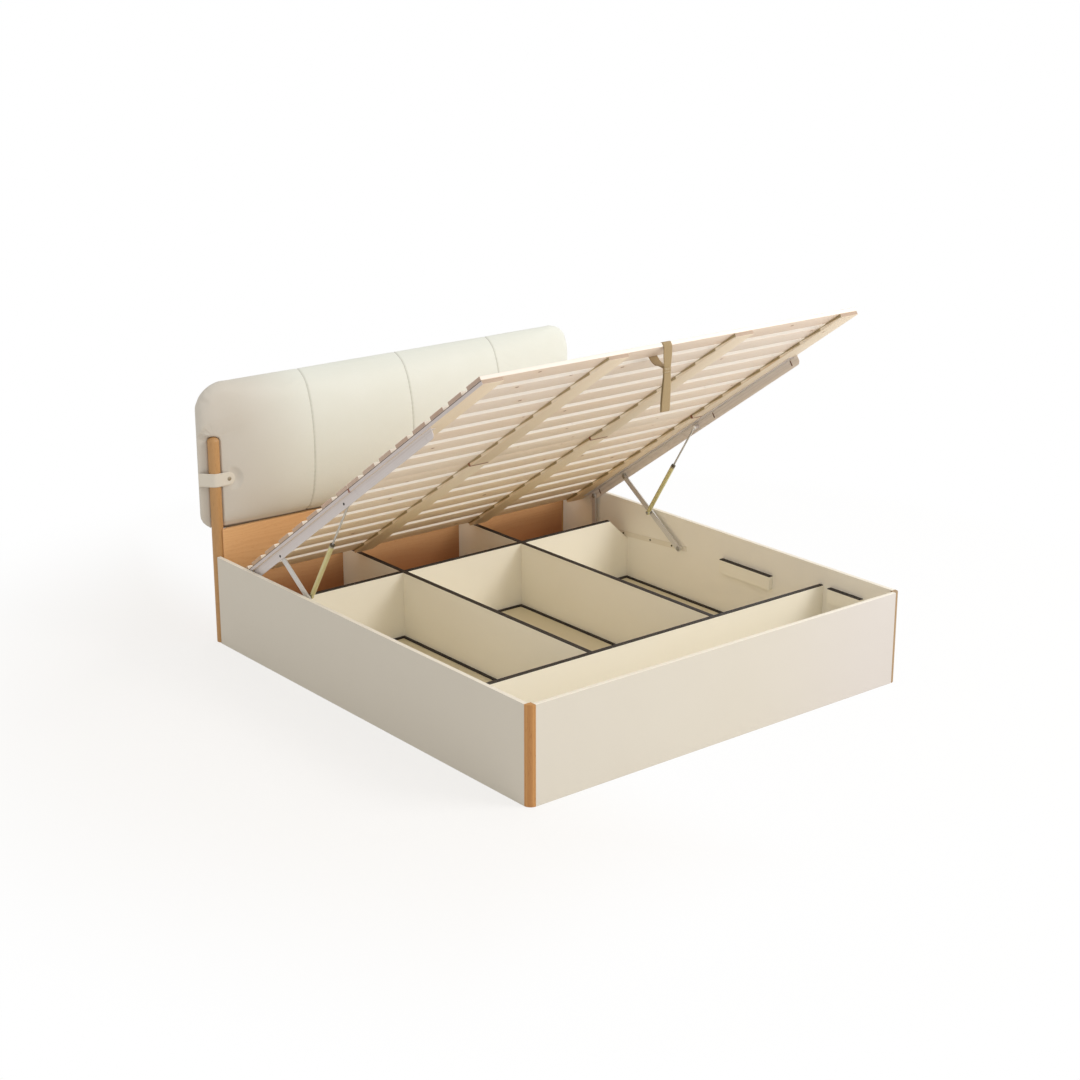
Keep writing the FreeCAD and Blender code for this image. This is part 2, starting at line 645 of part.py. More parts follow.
band_height = ("board_top", "partition_top")
head_cross_span = ("head_cross_y - board_thick / 2", "head_cross_y + board_thick / 2")
bands = [box("band_foot", ("-partition_x", "partition_x"), foot_cross_span, band_height)]
chamfer_end = "partition_x - chamfer_width"
for name, span in (("left", ("-(%s)" % chamfer_end, "-long_partition_x - half_slot")),
                   ("middle", ("-long_partition_x + half_slot", "long_partition_x - half_slot")),
                   ("right", ("long_partition_x + half_slot", chamfer_end))):
    bands.append(box("band_head_" + name, span, head_cross_span, band_height))
keep(group("cross_bands", bands), "edge_bands_cross")
long_bands = [box("band_long_" + side_name,
                  across(side, "long_partition_x - board_thick / 2", "long_partition_x + board_thick / 2"),
                  long_span, band_height) for side_name, side in SIDES]
keep(group("long_bands", long_bands), "edge_bands_long")

# Compartment floors: battens on the floor, a board on them and a dark strip round it

COLUMNS = (("left", "-partition_x", "-long_partition_x - half_slot"),
           ("middle", "-long_partition_x + half_slot", "long_partition_x - half_slot"),
           ("right", "long_partition_x + half_slot", "partition_x"))
head_row = ("head_cross_y + half_slot", "head_panel_face - seat_gap")
middle_row = (foot_cross_span[1] + " + halving_gap", "head_cross_y - half_slot")
foot_row = ("-foot_inner + seat_gap", foot_cross_span[0] + " - halving_gap")
COMPARTMENTS = [("head_" + name, (low, high), head_row) for name, low, high in COLUMNS]
COMPARTMENTS += [("middle_" + name, (low, high), middle_row) for name, low, high in COLUMNS]
COMPARTMENTS.append(("foot", ("-partition_x", "partition_x"), foot_row))


def batten(name, x_span, y):
    return box(name, x_span, (y + " - floor_batten_width / 2", y + " + floor_batten_width / 2"),
               ("0", "floor_batten_height"))


# Where the battens lie in each row, as shares of the row's length.
BATTEN_SHARES = {"head": (0.5,), "middle": (0.175, 0.517, 0.859), "foot": (0.5,)}

battens = []
boards = {"head": [], "middle": [], "foot": []}
strips = []
for name, (left, right), (near_y, far_y) in COMPARTMENTS:
    row = name.split("_")[0]
    for index, share in enumerate(BATTEN_SHARES[row]):
        centre_y = "(%s) + %s * ((%s) - (%s))" % (near_y, share, far_y, near_y)
        battens.append(batten("batten_%s_%d" % (name, index), (left, right), centre_y))
    board_x = (left + " + floor_strip_width", right + " - floor_strip_width")
    board_y = (near_y + " + floor_strip_width", far_y + " - floor_strip_width")
    boards[row].append(box("floor_" + name, board_x, board_y, ("floor_batten_height", "floor_top")))
    height = ("floor_batten_height", "floor_top + floor_strip_proud")
    strips += [
        box("strip_near_" + name, (left, right), (near_y, board_y[0]), height),
        box("strip_far_" + name, (left, right), (board_y[1], far_y), height),
        box("strip_left_" + name, (left, board_x[0]), board_y, height),
        box("strip_right_" + name, (board_x[1], right), board_y, height),
    ]
keep(group("batten_set", battens), "floor_battens")


def corner_rooms(name, low, high):
    """Room for the two corner strips at the foot, between two heights."""
    return [box("%s_corner_room_%s" % (name, side_name),
                across(side, "half_width - corner_radius - seat_gap", "half_width"),
                ("-head_end", "-corner_edge + seat_gap"), (low, high)) for side_name, side in SIDES]


strip_rooms = corner_rooms("strip", "0", "board_top")
strip_rooms += [cylinder("strip_post_room_" + side_name, "Z", "post_radius + seat_gap",
                         ("%d * post_x" % side, "post_y", "0"), "board_top") for side_name, side in SIDES]
for row in ("head", "middle"):
    keep(group("floor_set_" + row, boards[row]), "floor_boards_" + row)
keep(less("floor_foot_cut", boards["foot"][0], corner_rooms("floor", "0", "board_top")), "floor_boards_foot")
keep(less("strip_cut", group("strip_set", strips), strip_rooms), "floor_edge_strips")

# Rest blocks on the side walls that carry the closed deck

BLOCK_ROWS = (("middle", "middle_block_top", "middle_block_start", "middle_block_length"),
              ("foot", "partition_top", "foot_block_start", "foot_block_length"))
block_bands = []
for row, top, start, length in BLOCK_ROWS:
    blocks = []
    for side_name, side in SIDES:
        x_span = across(side, "inner_x - rest_block_depth", "inner_x")
        y_span = (start, "%s + %s" % (start, length))
        name = "%s_%s" % (row, side_name)
        blocks.append(box("block_" + name, x_span, y_span,
                          (top + " - rest_block_tall", top + " - band_thick")))
        block_bands.append(box("block_band_" + name, x_span, y_span, (top + " - band_thick", top)))
    keep(group("block_set_" + row, blocks), "rest_blocks_" + row)
keep(group("block_band_set", block_bands), "rest_block_bands")


# Lift mechanism

def bar(name, side, inner, outer, length, width, hole_radius, middle_hole=None):
    """A flat bar with round ends along +Y from its first pivot, drilled at its pivots."""
    half = "(%s) / 2" % width
    x_span = across(side, inner, outer)
    ends = [pin_across(name + "_end_%d" % index, side, half, inner, outer, y, "0")
            for index, y in enumerate(("0", length))]
    flat = box(name + "_flat", x_span, ("0", length), ("-(%s)" % half, half))
    body = fused(name + "_body", [flat] + ends)
    places = [("0", hole_radius), (length, hole_radius)]
    if middle_hole:
        places.append(middle_hole)
    holes = [pin_across(name + "_hole_%d" % index, side, radius, inner + " - cut_overrun",
                        outer + " + cut_overrun", y, "0") for index, (y, radius) in enumerate(places)]
    return less(name + "_drilled", body, holes)


lower_bolts = []
upper_bolts = []
link_bolts = []
strut_foot_bolts = []
screws = []
for side_name, side in SIDES:
    # Wall plate: a strip from the arm's lower pivot to the link's, with a boss at each.
    strip = box("plate_strip_" + side_name, across(side, "plate_inner", "inner_x"),
                ("-plate_overhang", "plate_reach + plate_overhang"), ("-plate_width / 2", "plate_width / 2"))
    bosses = [pin_across("boss_%s_%d" % (side_name, index), side, "boss_radius", "arm_outer + seat_gap",
                         "inner_x", y, "0") for index, y in enumerate(("0", "plate_reach"))]
    screw_holes = [pin_across("plate_hole_%s_%d" % (side_name, index), side, "screw_radius + pivot_fit",
                              "plate_inner - cut_overrun", "inner_x + cut_overrun",
                              "%g * plate_reach" % share, "0")
                   for index, share in enumerate(PLATE_SCREW_SHARES)]
    plate_body = fused("plate_body_" + side_name, [strip] + bosses)
    plate = less("plate_drilled_" + side_name, plate_body, screw_holes)
    keep(turned("plate_set_" + side_name, [plate], "arm_foot_y", "arm_foot_z", "plate_drop", "plate_run"),
         "wall_plate_" + side_name)
    shanks = plate_screws("shank_" + side_name, side, "screw_radius", "plate_inner",
                          "plate_inner + screw_length")
    heads = plate_screws("head_" + side_name, side, "screw_head_radius",
                         "plate_inner - screw_head_thick", "plate_inner")
    screws += [fused("plate_screw_%s_%d" % (side_name, index), pair)
               for index, pair in enumerate(zip(shanks, heads))]

    # Lift arm, from its lower pivot on the wall plate to its pivot on the deck.
    arm = bar("arm_" + side_name, side, "arm_inner", "arm_outer", "arm_length", "arm_width",
              "pivot_radius + pivot_fit", ("strut_along_share * arm_length", "strut_pin_radius"))
    keep(turned("arm_set_" + side_name, [arm], "arm_foot_y", "arm_foot_z", "arm_rise", "arm_run"),
         "lift_arm_" + side_name)
    pivots = ((lower_bolts, "lower", "arm_foot_y", "arm_foot_z", "arm_outer + seat_gap"),
              (upper_bolts, "upper", "arm_top_y", "arm_top_z", "iron_inner"))
    for bolts_list, name, y, z, root in pivots:
        shank = pin_across("%s_shank_%s" % (name, side_name), side, "pivot_radius",
                           "arm_inner - seat_gap", root, y, z)
        head = pin_across("%s_head_%s" % (name, side_name), side, "pivot_head_radius",
                          "arm_inner - seat_gap - pivot_head_thick", "arm_inner - seat_gap", y, z)
        bolts_list.append(fused("%s_bolt_%s" % (name, side_name), [shank, head]))

    # Rear link, from its pivot on the deck down to the wall plate.
    link = bar("link_" + side_name, side, "arm_inner", "arm_outer", "link_length", "arm_width",
               "pivot_radius + pivot_fit")
    keep(turned("link_set_" + side_name, [link], "link_top_y", "link_top_z", "-link_rise", "-link_run"),
         "rear_link_" + side_name)
    shank = pin_across("link_shank_" + side_name, side, "pivot_radius", "arm_inner - seat_gap",
                       "iron_inner", "link_top_y", "link_top_z")
    head = pin_across("link_head_" + side_name, side, "pivot_head_radius",
                      "arm_inner - seat_gap - pivot_head_thick", "arm_inner - seat_gap",
                      "link_top_y", "link_top_z")
    upper_bolts.append(fused("link_top_bolt_" + side_name, [shank, head]))
    shank = pin_across("link_foot_shank_" + side_name, side, "pivot_radius + pivot_fit", "arm_inner",
                       "arm_outer", "link_foot_y", "link_foot_z")
    head = pin_across("link_foot_head_" + side_name, side, "pivot_head_radius",
                      "arm_inner - pivot_head_thick", "arm_inner", "link_foot_y", "link_foot_z")
    link_bolts.append(fused("link_foot_bolt_" + side_name, [shank, head]))

    # Gas strut: a tube hinged on the arm and a rod that slides in it.
    barrel = cylinder("tube_barrel_" + side_name, "Y", "tube_radius",
                      ("%d * strut_x" % side, "eye_radius", "0"), "tube_length - eye_radius")
    eye = pin_across("tube_eye_" + side_name, side, "eye_radius", "eye_inner", "eye_outer", "0", "0")
    bore = cylinder("tube_bore_" + side_name, "Y", "tube_radius - tube_wall",
                    ("%d * strut_x" % side, "2 * eye_radius", "0"),
                    "tube_length - 2 * eye_radius - collar_length")
    mouth = cylinder("tube_mouth_" + side_name, "Y", "rod_radius + pivot_fit",
                     ("%d * strut_x" % side, "2 * eye_radius", "0"), "tube_length")
    eye_hole = pin_across("tube_eye_hole_" + side_name, side, "strut_pin_radius + pivot_fit",
                          "eye_inner - cut_overrun", "eye_outer + cut_overrun", "0", "0")
    tube = less("tube_drilled_" + side_name, fused("tube_body_" + side_name, [barrel, eye]),
                [bore, mouth, eye_hole])
    keep(turned("tube_set_" + side_name, [tube], "strut_foot_y", "strut_foot_z", "strut_rise", "strut_run"),
         "strut_tube_" + side_name)

    shaft = cylinder("rod_shaft_" + side_name, "Y", "rod_radius",
                     ("%d * strut_x" % side, "tube_length - rod_in_tube", "0"),
                     "strut_length - tube_length + rod_in_tube - strut_pin_radius")
    piston = cylinder("rod_piston_" + side_name, "Y", "tube_radius - tube_wall - pivot_fit",
                      ("%d * strut_x" % side, "tube_length - rod_in_tube - rod_radius", "0"), "rod_radius")
    rod_eye = pin_across("rod_eye_" + side_name, side, "eye_radius", "eye_inner", "eye_outer",
                         "strut_length", "0")
    rod_bolt = pin_across("rod_bolt_" + side_name, side, "strut_head_radius",
                          "eye_inner - strut_head_thick", "eye_inner", "strut_length", "0")
    rod = fused("rod_body_" + side_name, [shaft, piston, rod_eye, rod_bolt])
    keep(turned("rod_set_" + side_name, [rod], "strut_foot_y", "strut_foot_z", "strut_rise", "strut_run"),
         "strut_rod_" + side_name)

    shank = pin_across("strut_foot_shank_" + side_name, side, "strut_pin_radius",
                       "eye_inner - seat_gap", "arm_outer", "strut_foot_y", "strut_foot_z")
    spacer = pin_across("strut_foot_spacer_" + side_name, side, "strut_head_radius",
                        "eye_outer + seat_gap", "arm_inner", "strut_foot_y", "strut_foot_z")
    head = pin_across("strut_foot_head_" + side_name, side, "strut_head_radius",
                      "eye_inner - seat_gap - strut_head_thick", "eye_inner - seat_gap",
                      "strut_foot_y", "strut_foot_z")
    strut_foot_bolts.append(fused("strut_foot_bolt_" + side_name, [shank, spacer, head]))

keep(group("screw_set", screws), "plate_screws")
keep(group("lower_bolt_set", lower_bolts), "arm_foot_bolts")
keep(group("upper_bolt_set", upper_bolts), "deck_pivot_bolts")
keep(group("link_bolt_set", link_bolts), "link_foot_bolts")
keep(group("strut_bolt_set", strut_foot_bolts), "strut_foot_pins")

# Deck: slats across, rails along, each in two halves that meet at mid-length

SLAT_COUNT = int(size("slats_per_half"))
for half_name, half in (("head", 0), ("foot", 1)):
    slats = []
    for index in range(SLAT_COUNT):
        start = "%d * (deck_half + splice_gap / 2) + %d * (slat_width + slat_gap)" % (half, index)
        end = start + " + slat_width - splice_gap / 2"
        slats.append(box("slat_%s_%d" % (half_name, index), ("-deck_width / 2", "deck_width / 2"),
                         ("-(%s)" % end, "-(%s)" % start), ("rail_thick", "rail_thick + slat_thick")))
    keep(on_deck("slat_set_" + half_name, slats), "deck_slats_" + half_name)

OUTER_SPAN = ("deck_width / 2 - rail_width", "deck_width / 2")
INNER_SPAN = ("inner_rail_x - rail_width / 2", "inner_rail_x + rail_width / 2")
for name, side, (low, high) in (("outer_left", -1, OUTER_SPAN), ("inner_left", -1, INNER_SPAN),
                                ("inner_right", 1, INNER_SPAN), ("outer_right", 1, OUTER_SPAN)):
    halves = [box("rail_%s_%s" % (name, half_name), across(side, low, high), y_span, ("0", "rail_thick"))
              for half_name, y_span in (("head", ("-deck_half + splice_gap / 2", "0")),
                                        ("foot", ("-deck_length", "-deck_half - splice_gap / 2")))]
    keep(on_deck("rail_set_" + name, halves), "deck_rail_" + name)


def oval(name, side, along, drop):
    """A slot through the upright leg of an angle iron, long way up and down the slope."""
    half = "(slot_length - slot_width) / 2"
    pieces = [box(name + "_flat", across(side, "iron_inner - cut_overrun", "iron_outer + cut_overrun"),
                  ("-(%s) - slot_width / 2" % along, "-(%s) + slot_width / 2" % along),
                  ("-(%s) - %s" % (drop, half), "-(%s) + %s" % (drop, half)))]
    for index, sign in enumerate("-+"):
        pieces.append(pin_across(name + "_end_%d" % index, side, "slot_width / 2",
                                 "iron_inner - cut_overrun", "iron_outer + cut_overrun", "-(%s)" % along,
                                 "-(%s) %s %s" % (drop, sign, half)))
    return fused(name, pieces)


def iron_foot_corner(first, second):
    """The lower corner of the upright leg at the foot end."""
    return all(near(point.y, "-iron_end") and near(point.z, "-iron_height") for point in (first, second))


for side_name, side in SIDES:
    upright = across(side, "iron_inner", "iron_outer")
    leg = padded("iron_leg_" + side_name, "YZ_Plane",
                 rectangle("-iron_end", "-iron_start", "-iron_height", "0"), upright[0],
                 "(%s) - (%s)" % (upright[1], upright[0]))
    rounded(leg, "iron_corner", iron_foot_corner)
    flange = box("iron_flange_" + side_name, across(side, "iron_outer - iron_width", "iron_outer"),
                 ("-iron_end + iron_corner", "-iron_start"), ("-iron_wall", "0"))
    slots = [oval("iron_%s_%s" % (name, side_name), side, name, "slot_drop")
             for name in ("slot_first", "slot_second", "slot_third")]
    iron = less("iron_cut_" + side_name, fused("iron_body_" + side_name, [leg, flange]), slots)
    boss = pin_across("iron_boss_" + side_name, side, "strut_head_radius", "eye_outer + seat_gap",
                      "iron_inner", "-strut_top_along", "-strut_top_drop")
    keep(on_deck("iron_set_" + side_name, [fused("iron_" + side_name, [iron, boss])]),
         "deck_angle_iron_" + side_name)


# Pull strap of webbing: a loop round the foot slat, gathered below it, and a tail

def deck_point(along, up):
    """A point of the deck's frame in the open deck's place."""
    y = size("deck_head_y") - along * size("deck_cos") + up * size("deck_sin")
    z = size("deck_head_z") + along * size("deck_sin") + up * size("deck_cos")
    return Vector(0, y, z)


clear = size("pull_gap")
slat_low = size("rail_thick") - clear
slat_high = size("rail_thick + slat_thick") + clear
slat_start = size("deck_length - slat_width") - clear
slat_end = size("deck_length") + clear
foot_top = deck_point(slat_end, slat_high)
foot_low = deck_point(slat_end, slat_low)
inner_low = deck_point(slat_start, slat_low)
inner_top = deck_point(slat_start, slat_high)
gather = foot_low - Vector(0, 0, size("pull_drop"))
gather_back = gather + Vector(0, 2 * size("pull_thick"), 0)
sag_near = gather + Vector(0, size("pull_sag_near"), size("pull_sag_near_rise"))
sag_far = gather + Vector(0, size("pull_sag_far"), size("pull_sag_far_rise"))
loop_inside = Part.makePolygon([foot_top, foot_low, gather, gather_back, sag_near, sag_far, inner_low,
                                inner_top, foot_top])
loop_outside = loop_inside.makeOffset2D(size("pull_thick"), 2)
band = Part.Face([loop_outside, loop_inside])
tail_front = gather.y - size("pull_thick") / 2
tail_back = tail_front + 2 * size("pull_thick")
tail_top = gather.z - size("pull_thick") / 2
tail_end = tail_top - size("pull_gather + pull_tail")
tail = Part.Face(Part.makePolygon([Vector(0, tail_front, tail_top), Vector(0, tail_back, tail_top),
                                   Vector(0, tail_back, tail_end), Vector(0, tail_front, tail_end),
                                   Vector(0, tail_front, tail_top)]))
webbing = Vector(size("pull_width"), 0, 0)
pull = doc.addObject("Part::Feature", "pull")
pull.Shape = band.extrude(webbing).fuse(tail.extrude(webbing)).removeSplitter()
pull.Placement = Placement(Vector(size("pull_x - pull_width / 2"), 0, 0), Rotation())
keep(pull, "pull_strap")

doc.recompute()

for piece in doc.Objects:
    for bad in ("Invalid", "Error"):
        if bad in piece.State:
            raise RuntimeError("%s is %s" % (piece.Name, bad))
for piece in nodes:
    if piece.Shape.isNull() or not piece.Shape.isValid():
        raise RuntimeError("%s has no sound shape" % piece.Label)

os.makedirs("parts", exist_ok=True)
for piece in nodes:
    piece.Shape.exportStep("parts/%s.step" % piece.Label)
print("nodes", len(nodes))
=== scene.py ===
import math
import random

import bmesh
import bpy
from mathutils import Matrix, Vector


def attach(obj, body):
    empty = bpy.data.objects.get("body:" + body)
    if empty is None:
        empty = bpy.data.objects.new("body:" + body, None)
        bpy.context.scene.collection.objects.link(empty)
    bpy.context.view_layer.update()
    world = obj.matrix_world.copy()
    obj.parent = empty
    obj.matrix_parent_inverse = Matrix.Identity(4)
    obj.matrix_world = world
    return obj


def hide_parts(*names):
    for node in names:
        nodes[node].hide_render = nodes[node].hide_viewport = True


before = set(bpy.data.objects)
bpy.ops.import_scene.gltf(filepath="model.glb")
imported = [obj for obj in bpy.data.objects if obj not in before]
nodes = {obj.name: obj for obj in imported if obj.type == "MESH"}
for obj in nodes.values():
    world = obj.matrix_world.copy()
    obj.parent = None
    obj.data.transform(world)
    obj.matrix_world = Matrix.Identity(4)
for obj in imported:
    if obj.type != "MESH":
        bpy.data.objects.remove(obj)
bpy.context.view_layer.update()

random.seed(7)

MM = 0.001
SIDES = (("left", -1), ("right", 1))

# Sizes of the bed, in metres, as the frame has them.
POST_X = 0.9
POST_Y = 1.0395
POST_RADIUS = 0.024
POST_HEIGHT = 0.87
CUSHION_BACK = 1.079
SEAM_SPACING = 0.485

DECK_ANGLE = math.radians(34.55)
DECK_HEAD = (0.8732, 0.3088)
DECK_LENGTH = 1.964
DECK_HALF = DECK_LENGTH / 2
DECK_WIDTH = 1.8
PLANK_THICK = 0.015
PLANK_WIDTH = 0.09
SLATS_PER_HALF = 8
SLAT_PITCH = PLANK_WIDTH + (DECK_HALF - SLATS_PER_HALF * PLANK_WIDTH) / (SLATS_PER_HALF - 1)
INNER_RAIL_X = 0.302

PLATE_X = 0.901
ARM_OUTER = 0.890
ARM_INNER = 0.885
IRON_INNER = 0.891
STRUT_X = 0.869
EYE_HALF = 0.0045
ARM_FOOT = (0.2153, 0.2419)
LINK_FOOT = (0.7736, 0.205)


def deck_point(along, up):
    """A point of the open deck, along from its head end and up from its underside, as (y, z)."""
    cosine, sine = math.cos(DECK_ANGLE), math.sin(DECK_ANGLE)
    return (DECK_HEAD[0] - along * cosine + up * sine, DECK_HEAD[1] + along * sine + up * cosine)


ARM_TOP = deck_point(0.3473, -0.0234)
LINK_TOP = deck_point(0.0996, -0.0207)
STRUT_TOP = deck_point(0.91, -0.02)
STRUT_FOOT = tuple((foot + top) / 2 for foot, top in zip(ARM_FOOT, ARM_TOP))
DECK_FRAME = Matrix.Translation((0, *DECK_HEAD)) @ Matrix.Rotation(-DECK_ANGLE, 4, "X")


# Shader helpers

def tone(code):
    """A linear colour from a six-figure screen colour."""
    levels = [int(code[place:place + 2], 16) / 255 for place in (0, 2, 4)]
    return tuple(level / 12.92 if level < 0.04045 else ((level + 0.055) / 1.055) ** 2.4
                 for level in levels) + (1,)


def node(tree, kind, wires=None, **settings):
    """A node with its settings, its inputs joined to values or sockets, or given numbers."""
    made = tree.nodes.new(kind)
    for name, value in settings.items():
        setattr(made, name, value)
    for place, value in (wires or {}).items():
        socket = getattr(value, "socket", value)
        if isinstance(socket, bpy.types.NodeSocket):
            tree.links.new(socket, made.inputs[place])
        else:
            made.inputs[place].default_value = value
    return made


def outputs(made):
    return {socket.name: Value(socket) for socket in made.outputs}


class Value:
    """What a node puts out, with the sums and textures that can follow from it."""

    def __init__(self, socket):
        self.socket = socket
        self.tree = socket.id_data

    def node(self, kind, wires, output=0, **settings):
        return Value(node(self.tree, kind, wires, **settings).outputs[output])

    def math(self, operation, *others, clamp=False):
        wires = dict(enumerate((self,) + others))
        return self.node("ShaderNodeMath", wires, operation=operation, use_clamp=clamp)

    def __add__(self, other):
        return self.math("ADD", other)

    def __sub__(self, other):
        return self.math("SUBTRACT", other)

    def __mul__(self, other):
        return self.math("MULTIPLY", other)

    def __truediv__(self, other):
        return self.math("DIVIDE", other)

    def __abs__(self):
        return self.math("ABSOLUTE")

    def scaled(self, factor, shift, clamp=False):
        return self.math("MULTIPLY_ADD", factor, shift, clamp=clamp)

    def ramp(self, low, high, to_low=0.0, to_high=1.0):
        """Runs softly from one level to the other between two readings."""
        wires = {"Value": self, "From Min": low, "From Max": high, "To Min": to_low, "To Max": to_high}
        return self.node("ShaderNodeMapRange", wires, interpolation_type="SMOOTHSTEP")

    def mix(self, first, second, kind="MIX"):
        """The first colour where this value is zero, and the second where it is one."""
        wires = {0: self, 6: first, 7: second}
        return self.node("ShaderNodeMix", wires, 2, data_type="RGBA", blend_type=kind)

    def vector_math(self, operation, other):
        return self.node("ShaderNodeVectorMath", {0: self, 1: other}, operation=operation)

    def stretched(self, amounts):
        return self.vector_math("MULTIPLY", amounts)

    def split(self):
        return [Value(part) for part in node(self.tree, "ShaderNodeSeparateXYZ", {0: self}).outputs]

    def speckle(self, scale, detail=3.0, roughness=0.5, distortion=0.0):
        wires = {"Vector": self, "Scale": scale, "Detail": detail, "Roughness": roughness,
                 "Distortion": distortion}
        return self.node("ShaderNodeTexNoise", wires, "Fac")


def effect(name, levels, labels, build):
    """A shared node group with a vector, named levels as inputs and named values as outputs."""
    tree = bpy.data.node_groups.new(name, "ShaderNodeTree")
    tree.interface.new_socket("Vector", in_out="INPUT", socket_type="NodeSocketVector")
    for label, level in levels.items():
        tree.interface.new_socket(label, in_out="INPUT", socket_type="NodeSocketFloat").default_value = level
    for label in labels:
        tree.interface.new_socket(label, in_out="OUTPUT", socket_type="NodeSocketFloat")
    given = outputs(tree.nodes.new("NodeGroupInput"))
    node(tree, "NodeGroupOutput", build(given["Vector"], given))
    return tree


def build_rings(vector, given):
    """Growth rings about a pith that runs along X, warped round knots."""
    white = {"noise_dimensions": "1D"}
    offset = vector.node("ShaderNodeTexWhiteNoise", {"W": given["Board"]}, "Color", **white)
    place = vector.vector_math("ADD", offset.stretched((3.0, 0.05, 0.03)))
    x, y, z = place.split()
    knot_place = x.node("ShaderNodeCombineXYZ", {0: x * 0.55, 1: y})
    cells = outputs(node(vector.tree, "ShaderNodeTexVoronoi", {"Vector": knot_place, "Scale": given["Knots"]},
                         voronoi_dimensions="2D"))
    chosen = outputs(node(vector.tree, "ShaderNodeSeparateColor", {0: cells["Color"]}))
    picked = chosen["Red"].math("GREATER_THAN", given["Knot Rarity"])
    near = cells["Distance"] / given["Knots"] / chosen["Green"].ramp(0.0, 1.0, 0.0020, 0.0052)
    swirl = near.ramp(5.0, 0.6) * picked
    waver = place.stretched((1.3, 9.0, 9.0)).speckle(1.0, 2.0)
    spread = (waver - 0.5) * given["Waver"]
    across, depth = y + spread, z + given["Pith"] + spread
    distance = (across * across + depth * depth).math("SQRT")
    ring = ((distance + swirl * 0.006) / given["Ring Width"]).math("FRACT")
    pores = place.stretched((42.0, 1150.0, 1150.0)).speckle(1.0, 1.0)
    return {"Late Wood": ring.ramp(0.25, 0.9) * ring.ramp(1.0, 0.93),
            "Fibre": place.stretched((9.0, 420.0, 420.0)).speckle(1.0, 2.0, 0.6),
            "Pores": pores.ramp(0.63, 0.72), "Knot": near.ramp(1.25, 0.75) * picked, "Swirl": swirl,
            "Drift": place.stretched((1.1, 7.0, 7.0)).speckle(1.0, 3.0),
            "Board Tone": vector.node("ShaderNodeTexWhiteNoise", {"W": given["Board"] + 0.37}, **white)}


RINGS = effect("growth_rings", {"Board": 0.0, "Ring Width": 0.004, "Pith": 0.05, "Waver": 0.01, "Knots": 7.0,
                                "Knot Rarity": 2.0},
               ("Late Wood", "Fibre", "Pores", "Knot", "Swirl", "Drift", "Board Tone"), build_rings)


def build_smudge(vector, given):
    """Slow unevenness of colour, fine unevenness of the surface and marks of handling."""
    marks = vector.stretched((1.0, 1.0, 6.0)).speckle(given["Mark Scale"], 6.0, 0.7, 0.4)
    return {"Patches": vector.speckle(given["Patch Scale"], 4.0, 0.55),
            "Grain": vector.speckle(given["Grain Scale"], 2.0, 0.6), "Marks": marks.ramp(0.6, 0.74)}


SMUDGE = effect("uneven_surface", {"Patch Scale": 3.0, "Grain Scale": 900.0, "Mark Scale": 30.0},
                ("Patches", "Grain", "Marks"), build_smudge)


def build_hide(vector, given):
    """Leather: pebbles between fine creases, with a few soft wrinkles."""
    warp = vector.node("ShaderNodeTexNoise", {"Vector": vector, "Scale": 90.0}, "Color")
    nudged = warp.stretched((0.004,) * 3).vector_math("ADD", vector)
    pebble = vector.node("ShaderNodeTexVoronoi", {"Vector": nudged, "Scale": given["Pebbles"]}, "Distance",
                         feature="DISTANCE_TO_EDGE")
    crease = pebble.ramp(0.0, 0.16)
    return {"Height": crease * 0.35 + vector.speckle(14.0, 5.0, 0.55, 0.6), "Crease": crease,
            "Mottle": vector.speckle(6.0, 4.0)}


HIDE = effect("leather_hide", {"Pebbles": 650.0}, ("Height", "Crease", "Mottle"), build_hide)


def build_weave(vector, given):
    """Webbing: ribs along the band crossed by a herringbone of yarns."""
    along, across, _ = vector.split()
    rib = (across * given["Ribs"]).math("SINE")
    turn = abs((across * 90.0).math("FRACT") - 0.5)
    yarn = (along * given["Yarns"] + turn * 12.0).math("SINE")
    height = rib * 0.35 + yarn * 0.5
    fuzz = vector.speckle(700.0, 2.0)
    return {"Height": height, "Shade": (height + fuzz * 0.6).scaled(0.35, 0.4, clamp=True)}


WEAVE = effect("webbing_weave", {"Ribs": 1900.0, "Yarns": 2600.0}, ("Height", "Shade"), build_weave)


class Finish:
    """A material: its shader, where a spot of it lies (at) and looks (out), and its colour so far."""

    def __init__(self, name):
        self.material = bpy.data.materials.new(name)
        self.material.use_nodes = True
        self.tree = self.material.node_tree
        self.tree.nodes.clear()
        self.shader = node(self.tree, "ShaderNodeBsdfPrincipled")
        node(self.tree, "ShaderNodeOutputMaterial", {0: self.shader.outputs[0]})
        place = outputs(node(self.tree, "ShaderNodeTexCoord"))
        self.spot, self.facing, self.uv = place["Object"], place["Normal"], place["UV"]
        self.at, self.out = self.spot.split(), self.facing.split()

    def use(self, group, wires, vector=None):
        wires = {"Vector": vector or self.spot, **wires}
        return outputs(node(self.tree, "ShaderNodeGroup", wires, node_tree=group))

    def paint(self, colour, rough=None):
        self.colour = colour
        self.tree.links.new(colour.socket, self.shader.inputs["Base Color"])
        if rough:
            self.tree.links.new(rough.socket, self.shader.inputs["Roughness"])
        return self

    def relief(self, height, strength, distance):
        bump = height.node("ShaderNodeBump", {"Height": height, "Strength": strength, "Distance": distance})
        self.tree.links.new(bump.socket, self.shader.inputs["Normal"])

    def level(self, levels):
        """Numbers that are the same all over the surface, on the shader's own sockets."""
        for label, number in levels.items():
            self.shader.inputs[label].default_value = number
        return self

    def inward(self):
        """One on faces that look to the middle of the box, zero on the others."""
        x, y, _ = self.spot.stretched(self.facing).split()
        return x.math("MINIMUM", y).math("LESS_THAN", -0.5)


